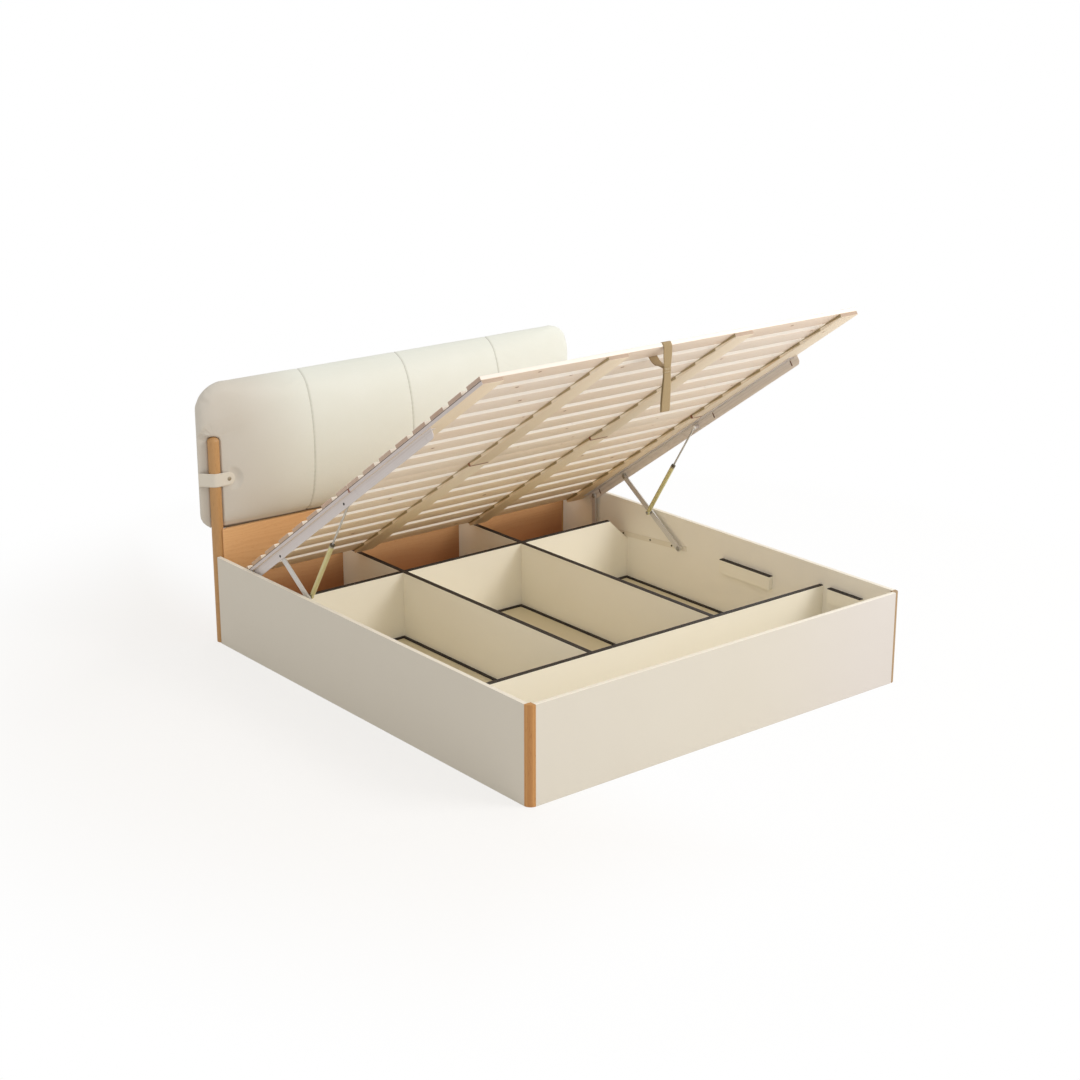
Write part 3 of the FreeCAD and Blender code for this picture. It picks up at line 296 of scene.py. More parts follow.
def board_paint(name, colour, shade, roughness=0.42, inner=None, top=None):
    """Smooth coated board, with painted light where the tones are given: a lighter tone on its inner faces and
    on its upper faces.
    """
    finish = Finish(name)
    uneven = finish.use(SMUDGE, {"Patch Scale": 2.3, "Grain Scale": 1100.0})
    coat = (uneven["Patches"] * 0.55).mix(tone(colour), tone(shade))
    if inner:
        # painted light: faces that look to the middle of the box take the lighter inner tone, standing in for
        # the light inside the box
        coat = finish.inward().mix(coat, tone(inner))
    if top:
        # painted light: upward faces take the lighter top tone, standing in for light from above
        coat = finish.out[2].ramp(0.5, 0.8).mix(coat, tone(top))
    finish.paint(coat, uneven["Grain"].scaled(0.12, roughness - 0.06))
    finish.relief(uneven["Grain"], 0.10, 0.2 * MM)
    return finish.level({"Specular IOR Level": 0.42})


def wood(name, light, dark, knot_tone, along="X", ring_width=0.004, pith=0.05, waver=0.012, knots=7.0,
         rarity=2.0, contrast=0.5, board_spread=0.3, roughness=0.5, pore_depth=0.3, end_grain=None,
         low_shade=None):
    """Solid wood cut along one axis. Rarity over one leaves the knots out."""
    finish = Finish(name)
    turn = {"X": (0, 0, 0), "Y": (0, 0, -math.pi / 2), "Z": (0, math.pi / 2, 0)}[along]
    board = Value(node(finish.tree, "ShaderNodeAttribute", attribute_name="board").outputs["Fac"])
    turned_spot = board.node("ShaderNodeMapping", {"Vector": finish.spot, "Rotation": turn})
    grain = finish.use(RINGS, {"Board": board, "Ring Width": ring_width, "Pith": pith, "Waver": waver,
                               "Knots": knots, "Knot Rarity": rarity}, turned_spot)
    figure = grain["Late Wood"] * contrast + (grain["Fibre"] - 0.5) * 0.3 + (grain["Drift"] - 0.5) * 0.5
    figure = figure.math("ADD", (grain["Board Tone"] - 0.5) * board_spread, clamp=True)
    colour = figure.mix(tone(light), tone(dark))
    colour = (grain["Pores"] * pore_depth).mix(colour, tone(dark), "MULTIPLY")
    colour = (grain["Swirl"] * 0.25).mix(colour, tone(dark))
    colour = (grain["Knot"] * 0.85).mix(colour, tone(knot_tone))
    if end_grain:
        cut = abs(finish.out["XYZ".index(along)]).ramp(0.75, 0.95)
        cut = cut.math("MULTIPLY", grain["Pores"].scaled(0.3, 0.55), clamp=True)
        colour = cut.mix(colour, tone(end_grain))
    if low_shade:
        # painted shade: front faces darken towards the bottom, where the box's inside is shaded
        shaded_low_front = finish.at[2].ramp(0.38, 0.12, 0.0, 0.75) * finish.out[1].math("LESS_THAN", -0.5)
        colour = shaded_low_front.mix(colour, tone(low_shade))
    finish.paint(colour, grain["Fibre"].scaled(0.16, roughness - 0.08))
    finish.relief(grain["Fibre"] * 0.6 - grain["Pores"], 0.16, 0.3 * MM)
    return finish.level({"Specular IOR Level": 0.35})


def lit_slat_edges(finish, code):
    """Painted highlight: the slats' long edges paler than their faces, standing in for the light on them."""
    cut = abs(finish.out[1]).ramp(0.7, 0.95, 0.0, 0.85)
    return finish.paint(cut.mix(finish.colour, tone(code)))


def light_tint_to_right(finish, start, tint, front_only=False):
    """Painted light: another tone towards the box's right side, from the place named on, standing in for how
    the key light falls across the bed.
    """
    share = finish.at[0].ramp(start, 0.9)
    if front_only:
        share = share * finish.out[1].ramp(-0.4, -0.6)
    return finish.paint(share.mix(finish.colour, tint, "MULTIPLY"))


def deck_light_and_tone(finish, foot=(1, 1, 1, 1)):
    """The deck's pine with painted light: yellower towards the head end, standing in for warm light bounced
    from inside the box, and multiplied by another tone at the foot end.
    """
    along = finish.at[1] * -1.0
    colour = along.ramp(0.95, 0.1).mix(finish.colour, (0.97, 0.88, 0.72, 1), "MULTIPLY")
    return finish.paint(along.ramp(1.0, 1.8).mix(colour, foot, "MULTIPLY"))


def rail_shade_and_marks(finish):
    """Painted shade on the rails' sides beside each slat, their outer sides in the irons' grey with a painted
    shadow line along the top, and the joints at mid-length.
    """
    x, y, z = finish.at
    along = y * -1.0
    pitch = (along.math("MODULO", DECK_HALF) / SLAT_PITCH).math("FRACT")
    # painted shade: a sawtooth band of dark olive on the rails' side faces beside each slat, where the slats
    # shade them
    shade_from = pitch.scaled(-0.0100, 0.0100) + pitch.ramp(0.70, 0.74, 0.0, 0.0095)
    shaded = abs(finish.out[0]).ramp(0.75, 0.95) * (z - shade_from).ramp(-0.0012, 0.0012)
    colour = (shaded * 0.78).mix(finish.colour, tone("8f7b49"))
    outer = abs(x).math("GREATER_THAN", DECK_WIDTH / 2 - 1.5 * MM)
    # painted shadow: the top strip of the outer sides is dark, for the shadow line under the slat ends; below
    # it the irons' grey
    colour = outer.mix(colour, z.ramp(0.0112, 0.0128).mix(tone("d3cac8"), tone("54402f")))
    joint = abs(along - DECK_HALF).ramp(0.0075, 0.0040, 0.0, 0.9)
    return finish.paint(joint.mix(colour, tone("8c4c30")))


def leather(name, colour, shade, pebbles=650.0):
    finish = Finish(name)
    hide = finish.use(HIDE, {"Pebbles": pebbles})
    tinted = (hide["Mottle"] * 0.5).mix(tone(colour), tone(shade))
    creased = hide["Crease"].scaled(-0.12, 0.12).mix(tinted, tone(shade), "MULTIPLY")
    finish.paint(creased, hide["Crease"].scaled(-0.10, 0.56))
    finish.relief(hide["Height"], 0.22, 0.6 * MM)
    return finish.level({"Specular IOR Level": 0.4, "Sheen Weight": 0.08, "Sheen Roughness": 0.4})


def seam_shade_lines(finish):
    """Dark lines of painted shade where the panels are sewn, a darker, warmer left end as painted shade, and a
    painted shadow line along the lower edge.
    """
    x, _, z = finish.at
    outward = abs(x)
    away = outward.math("MINIMUM", abs(outward - SEAM_SPACING))
    # painted shade: a dark line in each seam's groove with a faint wider shade beside it
    line = away.ramp(0.0020, 0.0008, 0.0, 0.42).math("MAXIMUM", away.ramp(0.009, 0.0, 0.0, 0.10))
    # painted shade: the left end darker and warmer
    colour = x.ramp(-0.42, -0.86).mix(finish.colour, (0.82, 0.755, 0.735, 1), "MULTIPLY")
    colour = line.mix(colour, tone("6f6250"))
    # painted shadow: a dark line along the lower edge, where the cushion meets the head panel
    shaded_lower_edge = z.ramp(0.4985, 0.4915, 0.0, 0.85) * outward.math("LESS_THAN", 0.9)
    return finish.paint(shaded_lower_edge.mix(colour, tone("4b3b26")))


def webbing(name, colour, shade):
    finish = Finish(name)
    weave = finish.use(WEAVE, {}, finish.uv)
    finish.paint(weave["Shade"].mix(tone(shade), tone(colour)))
    finish.relief(weave["Height"], 0.5, 0.5 * MM)
    return finish.level({"Roughness": 0.85, "Specular IOR Level": 0.2, "Sheen Weight": 0.2})


def metal(name, colour, shade, metallic, roughness, grain_scale=600.0, wear=0.2, bump=0.08, lines=False,
          inner=None):
    """Painted or plated metal with faint handling marks, long brushed lines along the deck, and painted light
    where an inner tone is given: a lighter tone on faces that look to the middle of the box.
    """
    finish = Finish(name)
    uneven = finish.use(SMUDGE, {"Patch Scale": 14.0, "Grain Scale": grain_scale, "Mark Scale": 60.0})
    coat = (uneven["Patches"] * 0.5).mix(tone(colour), tone(shade))
    coat = (uneven["Marks"] * wear).mix(coat, tone(shade))
    # painted light: faces that look to the middle of the box take the lighter inner tone
    if inner:
        coat = finish.inward().mix(coat, tone(inner))
    if lines:
        level = finish.spot.node("ShaderNodeMapping", {"Vector": finish.spot, "Rotation": (DECK_ANGLE, 0, 0)})
        streak = level.stretched((220.0, 0.7, 220.0)).speckle(1.0, 2.0)
        coat = (streak.ramp(0.45, 0.68) * 0.25).mix(coat, tone("a8998a"))
    finish.paint(coat, uneven["Grain"].scaled(0.16, roughness - 0.08) + uneven["Marks"] * 0.12)
    finish.relief(uneven["Grain"], bump, 0.2 * MM)
    return finish.level({"Metallic": metallic})


BEECH = dict(along="Z", ring_width=0.0045, pith=0.03, waver=0.016, contrast=0.4, board_spread=0.0,
             roughness=0.38, pore_depth=0.5)
PINE = dict(waver=0.02, contrast=0.5, board_spread=0.3, roughness=0.55, pore_depth=0.12)

# The outer panels' board, with painted light on its inner faces and its top edges
cream_board = board_paint("cream_coated_board", "d9d3c6", "d2cabc", inner="fbf6ea", top="f4eee0")
# painted light: the front faces grow cooler towards the right, where the key light falls
light_tint_to_right(cream_board, 0.0, (0.98, 0.98, 1.06, 1), front_only=True)
# A lighter copy of the same coated board for the parts inside the box: painted light, standing in for the light
# bounced round inside
cream_lit_inside = board_paint("cream_coated_inside", "fdf8e9", "f8f1df", 0.5)
cream_floor = board_paint("cream_coated_floor", "e6dcc0", "dbcfae", 0.55)
fibre_board = board_paint("fibre_board", "b39470", "9d7e5b", 0.7)
# the head panel, darkened low on its front as painted shade
beech_across = wood("beech_panel", "e7b782", "d49c69", "8a5430", ring_width=0.009, pith=0.16, waver=0.05,
                    contrast=0.22, board_spread=0.0, roughness=0.42, pore_depth=0.45, low_shade="92502a")
beech_upright = wood("beech_turned", "c49866", "a5743f", "7a4a2b", **BEECH)
beech_corner = wood("beech_corner", "ca955a", "ab713c", "7a4a2b", **BEECH)
# painted shade: the right corner strip is darkened and cooled against the key light that falls on it
light_tint_to_right(beech_corner, 0.8, (0.68, 0.88, 1.25, 1))
pine = wood("pine_slats", "fcf0e2", "f1d2b3", "93623f", "X", 0.0042, 0.045, knots=7.5, rarity=0.55,
            end_grain="8f5f3f", **PINE)
lit_slat_edges(deck_light_and_tone(pine, (0.91, 0.90, 0.91, 1)), "fff8ee")
pine_along = wood("pine_rails", "f3e6d2", "e4c8a2", "80502f", "Y", 0.0046, 0.05, knots=5.5, rarity=0.70,
                  end_grain="7c4a2d", **PINE)
rail_shade_and_marks(deck_light_and_tone(pine_along))
batten_wood = wood("pine_battens", "e6c79b", "cc9f6a", "7c4b2a", "X", 0.005, 0.05, 0.02, 6.0, 0.8)
cushion_leather = seam_shade_lines(leather("cushion_leather", "eaece4", "dedfd2"))
strap_leather = leather("strap_leather", "e4ded2", "d8cfbe", 800.0)
thread = leather("seam_thread", "dcd2be", "cbbfa8", 1800.0)
khaki_webbing = webbing("khaki_webbing", "bda682", "8c764f")
dark_edge = metal("dark_edge_band", "2a221d", "1d1714", 0.0, 0.6, 900.0, 0.1)
# the irons' inward faces in a lighter tone: painted light
iron_paint = metal("grey_lavender_paint", "dcd5d4", "cdc5c3", 0.12, 0.42, lines=True, inner="f2eae3")
arm_paint = metal("pale_grey_paint", "d9d6d3", "c4c0bc", 0.3, 0.38)
plate_paint = metal("wall_plate_paint", "f1eadb", "e4dbc8", 0.05, 0.45)
strut_paint = metal("olive_gold_tube", "dad39f", "c0b47b", 0.25, 0.34)
collar_paint = metal("strut_collar", "aca291", "8b8170", 0.6, 0.35)
dark_recess = metal("dark_screw", "5c5340", "3d372a", 0.4, 0.5)
bright_rod = metal("bright_rod", "f2f1f0", "e2e0de", 0.35, 0.22, 2000.0, 0.1, 0.02)
zinc = metal("zinc_plated_steel", "aaa6a0", "8b877f", 0.9, 0.34)
# dark fill for the right iron's slots: painted shade
slot_shade_fill = metal("dark_slot_plug", "6e4433", "543024", 0.0, 0.6, 700.0, 0.15)
satin_brass = metal("satin_stud", "ada390", "8f846c", 0.6, 0.42)


# Mesh helpers

def eased(value):
    value = min(1.0, max(0.0, value))
    return value * value * (3 - 2 * value)


def put(name, shape, finishes, body, replaced=(), place=None):
    """Links a shape as a piece that rides on a body and takes its finish from a slot."""
    mesh = shape
    if isinstance(shape, bmesh.types.BMesh):
        mesh = bpy.data.meshes.new(name)
        shape.to_mesh(mesh)
        shape.free()
    piece = bpy.data.objects.new(name, mesh)
    bpy.context.scene.collection.objects.link(piece)
    if place is not None:
        piece.matrix_world = place
    for finish in finishes if isinstance(finishes, tuple) else (finishes,):
        mesh.materials.append(finish.material)
    mesh.shade_smooth()
    bpy.context.view_layer.update()
    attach(piece, body)
    if replaced:
        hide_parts(*replaced)
    return piece


def modify(piece, kind, **settings):
    made = piece.modifiers.new(kind.lower(), kind)
    for name, value in settings.items():
        setattr(made, name, value)
    return made


def dress(name, finish, width, segments):
    """Gives a node of the frame its finish, and rounded edges where a width is given."""
    piece = nodes[name]
    piece.data.materials.clear()
    piece.data.materials.append(finish.material)
    if "custom_normal" in piece.data.attributes:
        piece.data.attributes.remove(piece.data.attributes["custom_normal"])
    modify(piece, "WELD", merge_threshold=1e-6)
    if width:
        modify(piece, "DECIMATE", decimate_type="DISSOLVE", angle_limit=math.radians(1.0))
    piece.data.shade_smooth()
    if width:
        modify(piece, "BEVEL", width=width * MM, segments=segments, limit_method="ANGLE",
               angle_limit=math.radians(35), harden_normals=True, use_clamp_overlap=True)
    else:
        modify(piece, "EDGE_SPLIT", split_angle=math.radians(35))


def planks(boxes, round_width):
    """Planks as boxes with rounded edges, each with its own number for the grain."""
    shape = bmesh.new()
    number = shape.faces.layers.float.new("board")
    for index, (low, high) in enumerate(boxes):
        centre = [(first + second) / 2 for first, second in zip(low, high)]
        spans = [second - first for first, second in zip(low, high)]
        made = bmesh.ops.create_cube(shape, size=1.0, matrix=Matrix.Translation(centre) @ Matrix.Diagonal(
            (*spans, 1.0)))
        edges = list(dict.fromkeys(edge for vert in made["verts"] for edge in vert.link_edges))
        rounded = bmesh.ops.bevel(shape, geom=edges, offset=round_width, segments=2, profile=0.5,
                                  affect="EDGES", clamp_overlap=True)
        faces = {face for vert in rounded["verts"] for face in vert.link_faces}
        faces |= {face for vert in made["verts"] if vert.is_valid for face in vert.link_faces}
        shape.faces.index_update()
        for face in sorted(faces, key=lambda found: found.index):
            face[number] = index + 1 + random.random()
    return shape


def axis_frame(origin, direction, up=(0, 0, 1)):
    """A frame at a point whose X runs in a direction."""
    forward = Vector(direction).normalized()
    side = Vector(up).cross(forward).normalized()
    third = forward.cross(side)
    return Matrix.Translation(origin) @ Matrix((forward, side, third)).transposed().to_4x4()


def join_rings(shape, rings, skin=0):
    """Faces between closed rings of points, each with its row and step. One point alone is a tip."""
    made = []
    for row, (first, second) in enumerate(zip(rings, rings[1:])):
        for step in range(max(len(first), len(second))):
            after = step + 1
            corners = dict.fromkeys((first[step % len(first)], first[after % len(first)],
                                     second[after % len(second)], second[step % len(second)]))
            if len(corners) > 2:
                face = shape.faces.new(list(corners))
                face.material_index = skin
                made.append((face, row, step))
    return made


def turn_form(shape, place, profile, segments=24, skin=0):
    """A turned form. Profile points are (radius, distance along the frame's X), in millimetres."""
    rings = []
    for radius, along in profile:
        count = segments if radius else 1
        turns = [2 * math.pi * step / count for step in range(count)]
        rings.append([shape.verts.new(place @ Vector((along * MM, radius * MM * math.cos(turn),
                                                      radius * MM * math.sin(turn)))) for turn in turns])
    join_rings(shape, rings, skin)


def dome(radius, height, base, steps=6):
    """Profile points of a domed head that stands on a base."""
    points = [(radius, base)]
    for step in range(1, steps + 1):
        turn = math.pi / 2 * step / steps
        points.append((radius * math.cos(turn) if step < steps else 0.0,
                       base + height * (0.25 + 0.75 * math.sin(turn))))
    return tuple(points)


def add_band(shape, point_at, rows, columns, uv_at=None):
    """A band as two layers of points in rows and columns, closed along its sides and at its ends."""
    grid = {(layer, row, column): shape.verts.new(point_at(layer, row, column))
            for layer in (0, 1) for row in range(rows + 1) for column in range(columns + 1)}
    quads = []
    for row in range(rows):
        for column in range(columns):
            quads += [[(layer, row, column), (layer, row, column + 1), (layer, row + 1, column + 1),
                       (layer, row + 1, column)] for layer in (0, 1)]
        quads += [[(0, row, column), (0, row + 1, column), (1, row + 1, column), (1, row, column)]
                  for column in (0, columns)]
    for row in (0, rows):
        quads += [[(0, row, column), (1, row, column), (1, row, column + 1), (0, row, column + 1)]
                  for column in range(columns)]
    uv = shape.loops.layers.uv.new("webbing") if uv_at else None
    for quad in quads:
        face = shape.faces.new([grid[spot] for spot in quad])
        for loop, (_, row, column) in zip(face.loops, quad):
            if uv_at:
                loop[uv].uv = uv_at(row, column)
    bmesh.ops.recalc_face_normals(shape, faces=shape.faces)


# Nodes of the frame that keep their own shape: finish, width of the rounded edges in millimetres,
# segments of the round, and names
for finish, width, segments, names in (
        (cream_board, 0.6, 2, "side_panel_left side_panel_right foot_panel"),
        (cream_lit_inside, 0.5, 2, "cross_partition_head cross_partition_foot long_partition_left"),
        (cream_lit_inside, 0.5, 2, "long_partition_right rest_blocks_middle rest_blocks_foot"),
        (cream_floor, 0.5, 1, "floor_boards_head floor_boards_middle floor_boards_foot"),
        (dark_edge, 0.4, 2, "edge_bands_cross edge_bands_long rest_block_bands"),
        (dark_edge, 0, 0, "floor_edge_strips"),
        (batten_wood, 1.0, 1, "floor_battens"),
        (beech_across, 1.2, 2, "head_panel"),
        (beech_corner, 0.8, 2, "corner_strip_left corner_strip_right"),
        (beech_upright, 0, 0, "headboard_post_left headboard_post_right"),
        (fibre_board, 1.5, 2, "headboard_back_board"),
        (iron_paint, 0.6, 2, "deck_angle_iron_left deck_angle_iron_right"),
        (plate_paint, 0.5, 2, "wall_plate_left wall_plate_right"),
        (arm_paint, 1.0, 3, "lift_arm_left lift_arm_right rear_link_left rear_link_right")):
    for name in names.split():
        dress(name, finish, width, segments)

# Deck: slats and rails in the deck's own frame

MID_GAP = 0.2 * MM
slats = []
for half in (0, 1):
    for index in range(SLATS_PER_HALF):
        start = half * (DECK_HALF + MID_GAP) + index * SLAT_PITCH
        reach = DECK_WIDTH / 2 - abs((random.random() - 0.5) * 0.4 * MM)
        slats.append(((-reach, -start - PLANK_WIDTH, PLANK_THICK), (reach, -start, 2 * PLANK_THICK)))
put("deck_slats", planks(slats, 1.6 * MM), pine, "deck", ("deck_slats_head", "deck_slats_foot"),
    DECK_FRAME)

OUTER_RAIL_X = DECK_WIDTH / 2 - PLANK_WIDTH / 2
RAIL_MIDDLES = (-OUTER_RAIL_X, -INNER_RAIL_X, INNER_RAIL_X, OUTER_RAIL_X)
rails = []
for middle in RAIL_MIDDLES:
    left, right = middle - PLANK_WIDTH / 2, middle + PLANK_WIDTH / 2
    rails.append(((left, -DECK_HALF + MID_GAP, 0), (right, 0, PLANK_THICK)))
    rails.append(((left, -DECK_LENGTH, 0), (right, -DECK_HALF - MID_GAP, PLANK_THICK)))
put("deck_rails", planks(rails, 1.4 * MM), pine_along, "deck",
    ("deck_rail_outer_left", "deck_rail_inner_left", "deck_rail_inner_right", "deck_rail_outer_right"),
    DECK_FRAME)

# Countersunk screws that hold each slat to each rail, seen on the deck's upper side
COUNTERSUNK = ((3.6, 0), (3.6, 0.75), (3.2, 0.9), (1.7, 0.85), (1.4, 0.2), (0, 0))
shape = bmesh.new()
for low, high in slats:
    for rail_x in RAIL_MIDDLES:
        for shift in (-0.024, 0.024):
            centre = (rail_x + shift / 3, (low[1] + high[1]) / 2 + shift, 2 * PLANK_THICK - 0.6 * MM)
            turn_form(shape, axis_frame(centre, (0, 0, 1), (1, 0, 0)), COUNTERSUNK, 12)
put("slat_screws", shape, zinc, "deck", (), DECK_FRAME)

# Fills in the slots of the irons' upright legs: in the iron's paint on the left, and dark on the right as
# painted shade in the slots

SLOTS_ALONG = (0.147, 1.022, 1.548)
SLOT_UP = -0.017
SLOT_RADIUS = 3.1 * MM
SLOT_STRAIGHT = 8.75 * MM
for side_name, side in SIDES:
    shape = bmesh.new()
    for along in SLOTS_ALONG:
        outline = []
        for turn in (2 * math.pi * step / 24 for step in range(24)):
            shift = SLOT_STRAIGHT if math.sin(turn) > 0 else -SLOT_STRAIGHT
            outline.append((SLOT_RADIUS * math.cos(turn), shift + SLOT_RADIUS * math.sin(turn)))
        rings = [[shape.verts.new((side * (IRON_INNER + depth * MM), -along + wide * grown, SLOT_UP + tall))
                  for wide, tall in outline]
                 for depth, grown in ((0.3, 0.86), (0.15, 1.0), (2.35, 1.0), (2.2, 0.86))]
        join_rings(shape, rings)
        shape.faces.new(rings[0])
        shape.faces.new(list(reversed(rings[-1])))
    bmesh.ops.recalc_face_normals(shape, faces=shape.faces)
    put("iron_slot_plugs_" + side_name, shape, iron_paint if side < 0 else slot_shade_fill, "deck", (),
        DECK_FRAME)


# Lift mechanism

def across_bed(side, x, spot):
    return Vector((side * x, *spot))


def pivot_head(shape, side, x, spot, radius=8, height=3.4):
    """A domed rivet head on a washer, facing the middle of the bed."""
    washer = ((radius * 1.25, -0.6), (radius * 1.25, 0.5), (radius * 1.12, 0.8))
    place = axis_frame(across_bed(side, x, spot), (-side, 0, 0))
    turn_form(shape, place, washer + dome(radius, height, 0.8), 32)


ARM_NEAR = ARM_INNER - 0.3 * MM
EYE_NEAR = STRUT_X - EYE_HALF - 0.3 * MM
EYE_FAR = STRUT_X + EYE_HALF + 0.3 * MM
BIG_HEAD, SMALL_HEAD = (8, 3.4), (5.6, 2.4)
# Each piece of pins: its body, the node it replaces, its spots, its shanks (from, to, radius) and its head
for name, body, replaced, spots, shanks, head in (
        ("arm_foot_rivets", "box", "arm_foot_bolts", (ARM_FOOT,), ((ARM_NEAR, ARM_OUTER + 0.3 * MM, 5),),
         BIG_HEAD),
        ("deck_pivot_rivets", "deck", "deck_pivot_bolts", (ARM_TOP, LINK_TOP), ((ARM_NEAR, IRON_INNER, 5),),
         BIG_HEAD),
        ("link_foot_rivets", "rear_links", "link_foot_bolts", (LINK_FOOT,), ((ARM_NEAR, ARM_OUTER, 5),),
         BIG_HEAD),
        ("strut_foot_studs", "lift_arms", "strut_foot_pins", (STRUT_FOOT,),
         ((EYE_NEAR, ARM_OUTER, 4), (EYE_FAR, ARM_INNER, 7)), SMALL_HEAD)):
    shape = bmesh.new()
    for _, side in SIDES:
        for spot in spots:
            for near, far, radius in shanks:
                length = (far - near) / MM
                turn_form(shape, axis_frame(across_bed(side, near, spot), (side, 0, 0)),
                          ((0, 0), (radius, 0), (radius, length), (0, length)))
            pivot_head(shape, side, shanks[0][0] - 0.8 * MM, spot, *head)
    put(name, shape, zinc, body, (replaced,))

# Pan heads with a cross recess, along the line between the plate's two pivots
SCREW_RADIUS, SCREW_HEIGHT = 4.5, 2.2
PAN_HEAD = [(SCREW_RADIUS * wide, SCREW_HEIGHT * tall) for wide, tall in (
    (1, 0), (1, 0.5), (0.86, 0.85), (0.55, 1), (0.5, 0.9), (0, 0.45))]
CROSS_LONG, CROSS_WIDE = SCREW_RADIUS * 0.42 * MM, SCREW_RADIUS * 0.1 * MM
shape = bmesh.new()
for _, side in SIDES:
    for share in (0.1, 0.35, 0.67, 0.9):
        spot = [foot + share * (far - foot) for foot, far in zip(ARM_FOOT, LINK_FOOT)]
        place = axis_frame(across_bed(side, PLATE_X, spot), (-side, 0, 0))
        place = place @ Matrix.Rotation(random.random() * 3, 4, "X")
        turn_form(shape, place, PAN_HEAD)
        for turn in (0, math.pi / 2):
            blade = place @ Matrix.Rotation(turn, 4, "X")
            corners = [blade @ Vector((SCREW_HEIGHT * 0.97 * MM, across * CROSS_LONG, up * CROSS_WIDE))
                       for across, up in ((-1, -1), (1, -1), (1, 1), (-1, 1))]
            shape.faces.new([shape.verts.new(corner) for corner in corners])
put("wall_plate_screws", shape, dark_recess, "box", ("plate_screws",))

shape = bmesh.new()
for _, side in SIDES:
    for height in (0.64, 0.82):
        place = axis_frame((side * POST_X, CUSHION_BACK + 12.3 * MM, height), (0, 1, 0))
        turn_form(shape, place, ((10.5, 0), (10.5, 0.8), (8, 1.2)) + dome(8, 3, 1.2), 32)
put("headboard_bolt_heads", shape, zinc, "box", ("headboard_bolts",))

# Dark ends of the pivots on the irons' outer faces
shape = bmesh.new()
for _, side in SIDES:
    for spot in (ARM_TOP, STRUT_TOP):
        place = axis_frame(across_bed(side, IRON_INNER + 2.2 * MM, spot), (side, 0, 0))
        turn_form(shape, place, ((5.2, 0), (5.2, 1.1), (4.6, 1.5), (2.4, 1.6), (2, 1), (0, 1)))
put("iron_pivot_ends", shape, dark_edge, "deck")

# Gas struts: painted tube with a dark collar, bright rod, and an eye at each end

strut_line = Vector((0, STRUT_TOP[0] - STRUT_FOOT[0], STRUT_TOP[1] - STRUT_FOOT[1]))
ROD_END = strut_line.length / MM
TUBE = ((0, 8), (3.6, 8), (3.6, 12), (5.5, 12.5), (7.5, 13.5), (8.7, 14.5), (9.5, 17), (9.5, 285))
COLLAR = ((9.5, 285), (9.7, 285.3), (9.7, 289), (8.6, 290), (8.6, 291))
TUBE_END = ((8.6, 291), (9.3, 292), (9.1, 297.5), (7, 299), (4.3, 299), (4.3, 295))
ROD = ((0, 269), (4, 269), (4, ROD_END - 16), (5.6, ROD_END - 15.4), (5.6, ROD_END - 9), (4.2, ROD_END - 8),
       (0, ROD_END - 8))


def add_eye(shape, side, spot, hole):
    """A flat ring round a pin, its axis across the bed, with eased edges."""
    turn_form(shape, axis_frame(across_bed(side, STRUT_X, spot), (side, 0, 0)),
              ((hole, -4.5), (8.2, -4.5), (9, -3.7), (9, 3.7), (8.2, 4.5), (hole, 4.5), (hole, -4.5)), 32)


for side_name, side in SIDES:
    line = axis_frame(across_bed(side, STRUT_X, STRUT_FOOT), strut_line, (side, 0, 0))
    shape = bmesh.new()
    add_eye(shape, side, STRUT_FOOT, 4.05)
    for skin, profile in enumerate((TUBE, COLLAR, TUBE_END)):
        turn_form(shape, line, profile, 40, skin)
    put("gas_strut_tube_" + side_name, shape, (strut_paint, collar_paint, dark_recess), "strut_tubes",
        ("strut_tube_" + side_name,))
    shape = bmesh.new()
    turn_form(shape, line, ROD, 32)
    add_eye(shape, side, STRUT_TOP, 1)
    pivot_head(shape, side, STRUT_X - EYE_HALF - 0.6 * MM, STRUT_TOP, *SMALL_HEAD)
    put("gas_strut_rod_" + side_name, shape, bright_rod, "strut_rods",
        ("strut_rod_" + side_name,))

# Pull strap of webbing

PULL_X = -0.072
PULL_WIDTH = 0.041
PULL_COLUMNS = 10
WEB = 2.5 * MM
CLEAR = 0.5 * MM
TAIL_DROP = -0.162


def rounded_path(points, radius, steps=5):
    """A polyline with its corners rounded."""
    path = [points[0]]
    for before, corner, after in zip(points, points[1:], points[2:]):
        toward, away = (before - corner), (after - corner)
        reach = min(radius, toward.length * 0.45, away.length * 0.45)
        first, last = corner + toward.normalized() * reach, corner + away.normalized() * reach
        for share in (step / steps for step in range(steps + 1)):
            path.append(first.lerp(corner, share).lerp(corner.lerp(last, share), share))
    path.append(points[-1])
    return path


def resample(path, spacing):
    out = [path[0]]
    for first, second in zip(path, path[1:]):
        span = (second - first).length
        if span < 1e-9:
            continue
        count = max(1, round(span / spacing))
        out += [first.lerp(second, step / count) for step in range(1, count + 1)]
    return out


def deck_vector(along, up):
    return Vector((0, *deck_point(along, up)))


gather = deck_vector(DECK_LENGTH + CLEAR, PLANK_THICK - CLEAR) - Vector((0, 0, 0.076))
low, high = PLANK_THICK - CLEAR - WEB / 2, 2 * PLANK_THICK + CLEAR + WEB / 2
near_edge, far_edge = DECK_LENGTH + CLEAR + WEB / 2, DECK_LENGTH - PLANK_WIDTH - CLEAR - WEB / 2


def from_gather(*places):
    return [gather + Vector((0, forward, up)) for forward, up in places]


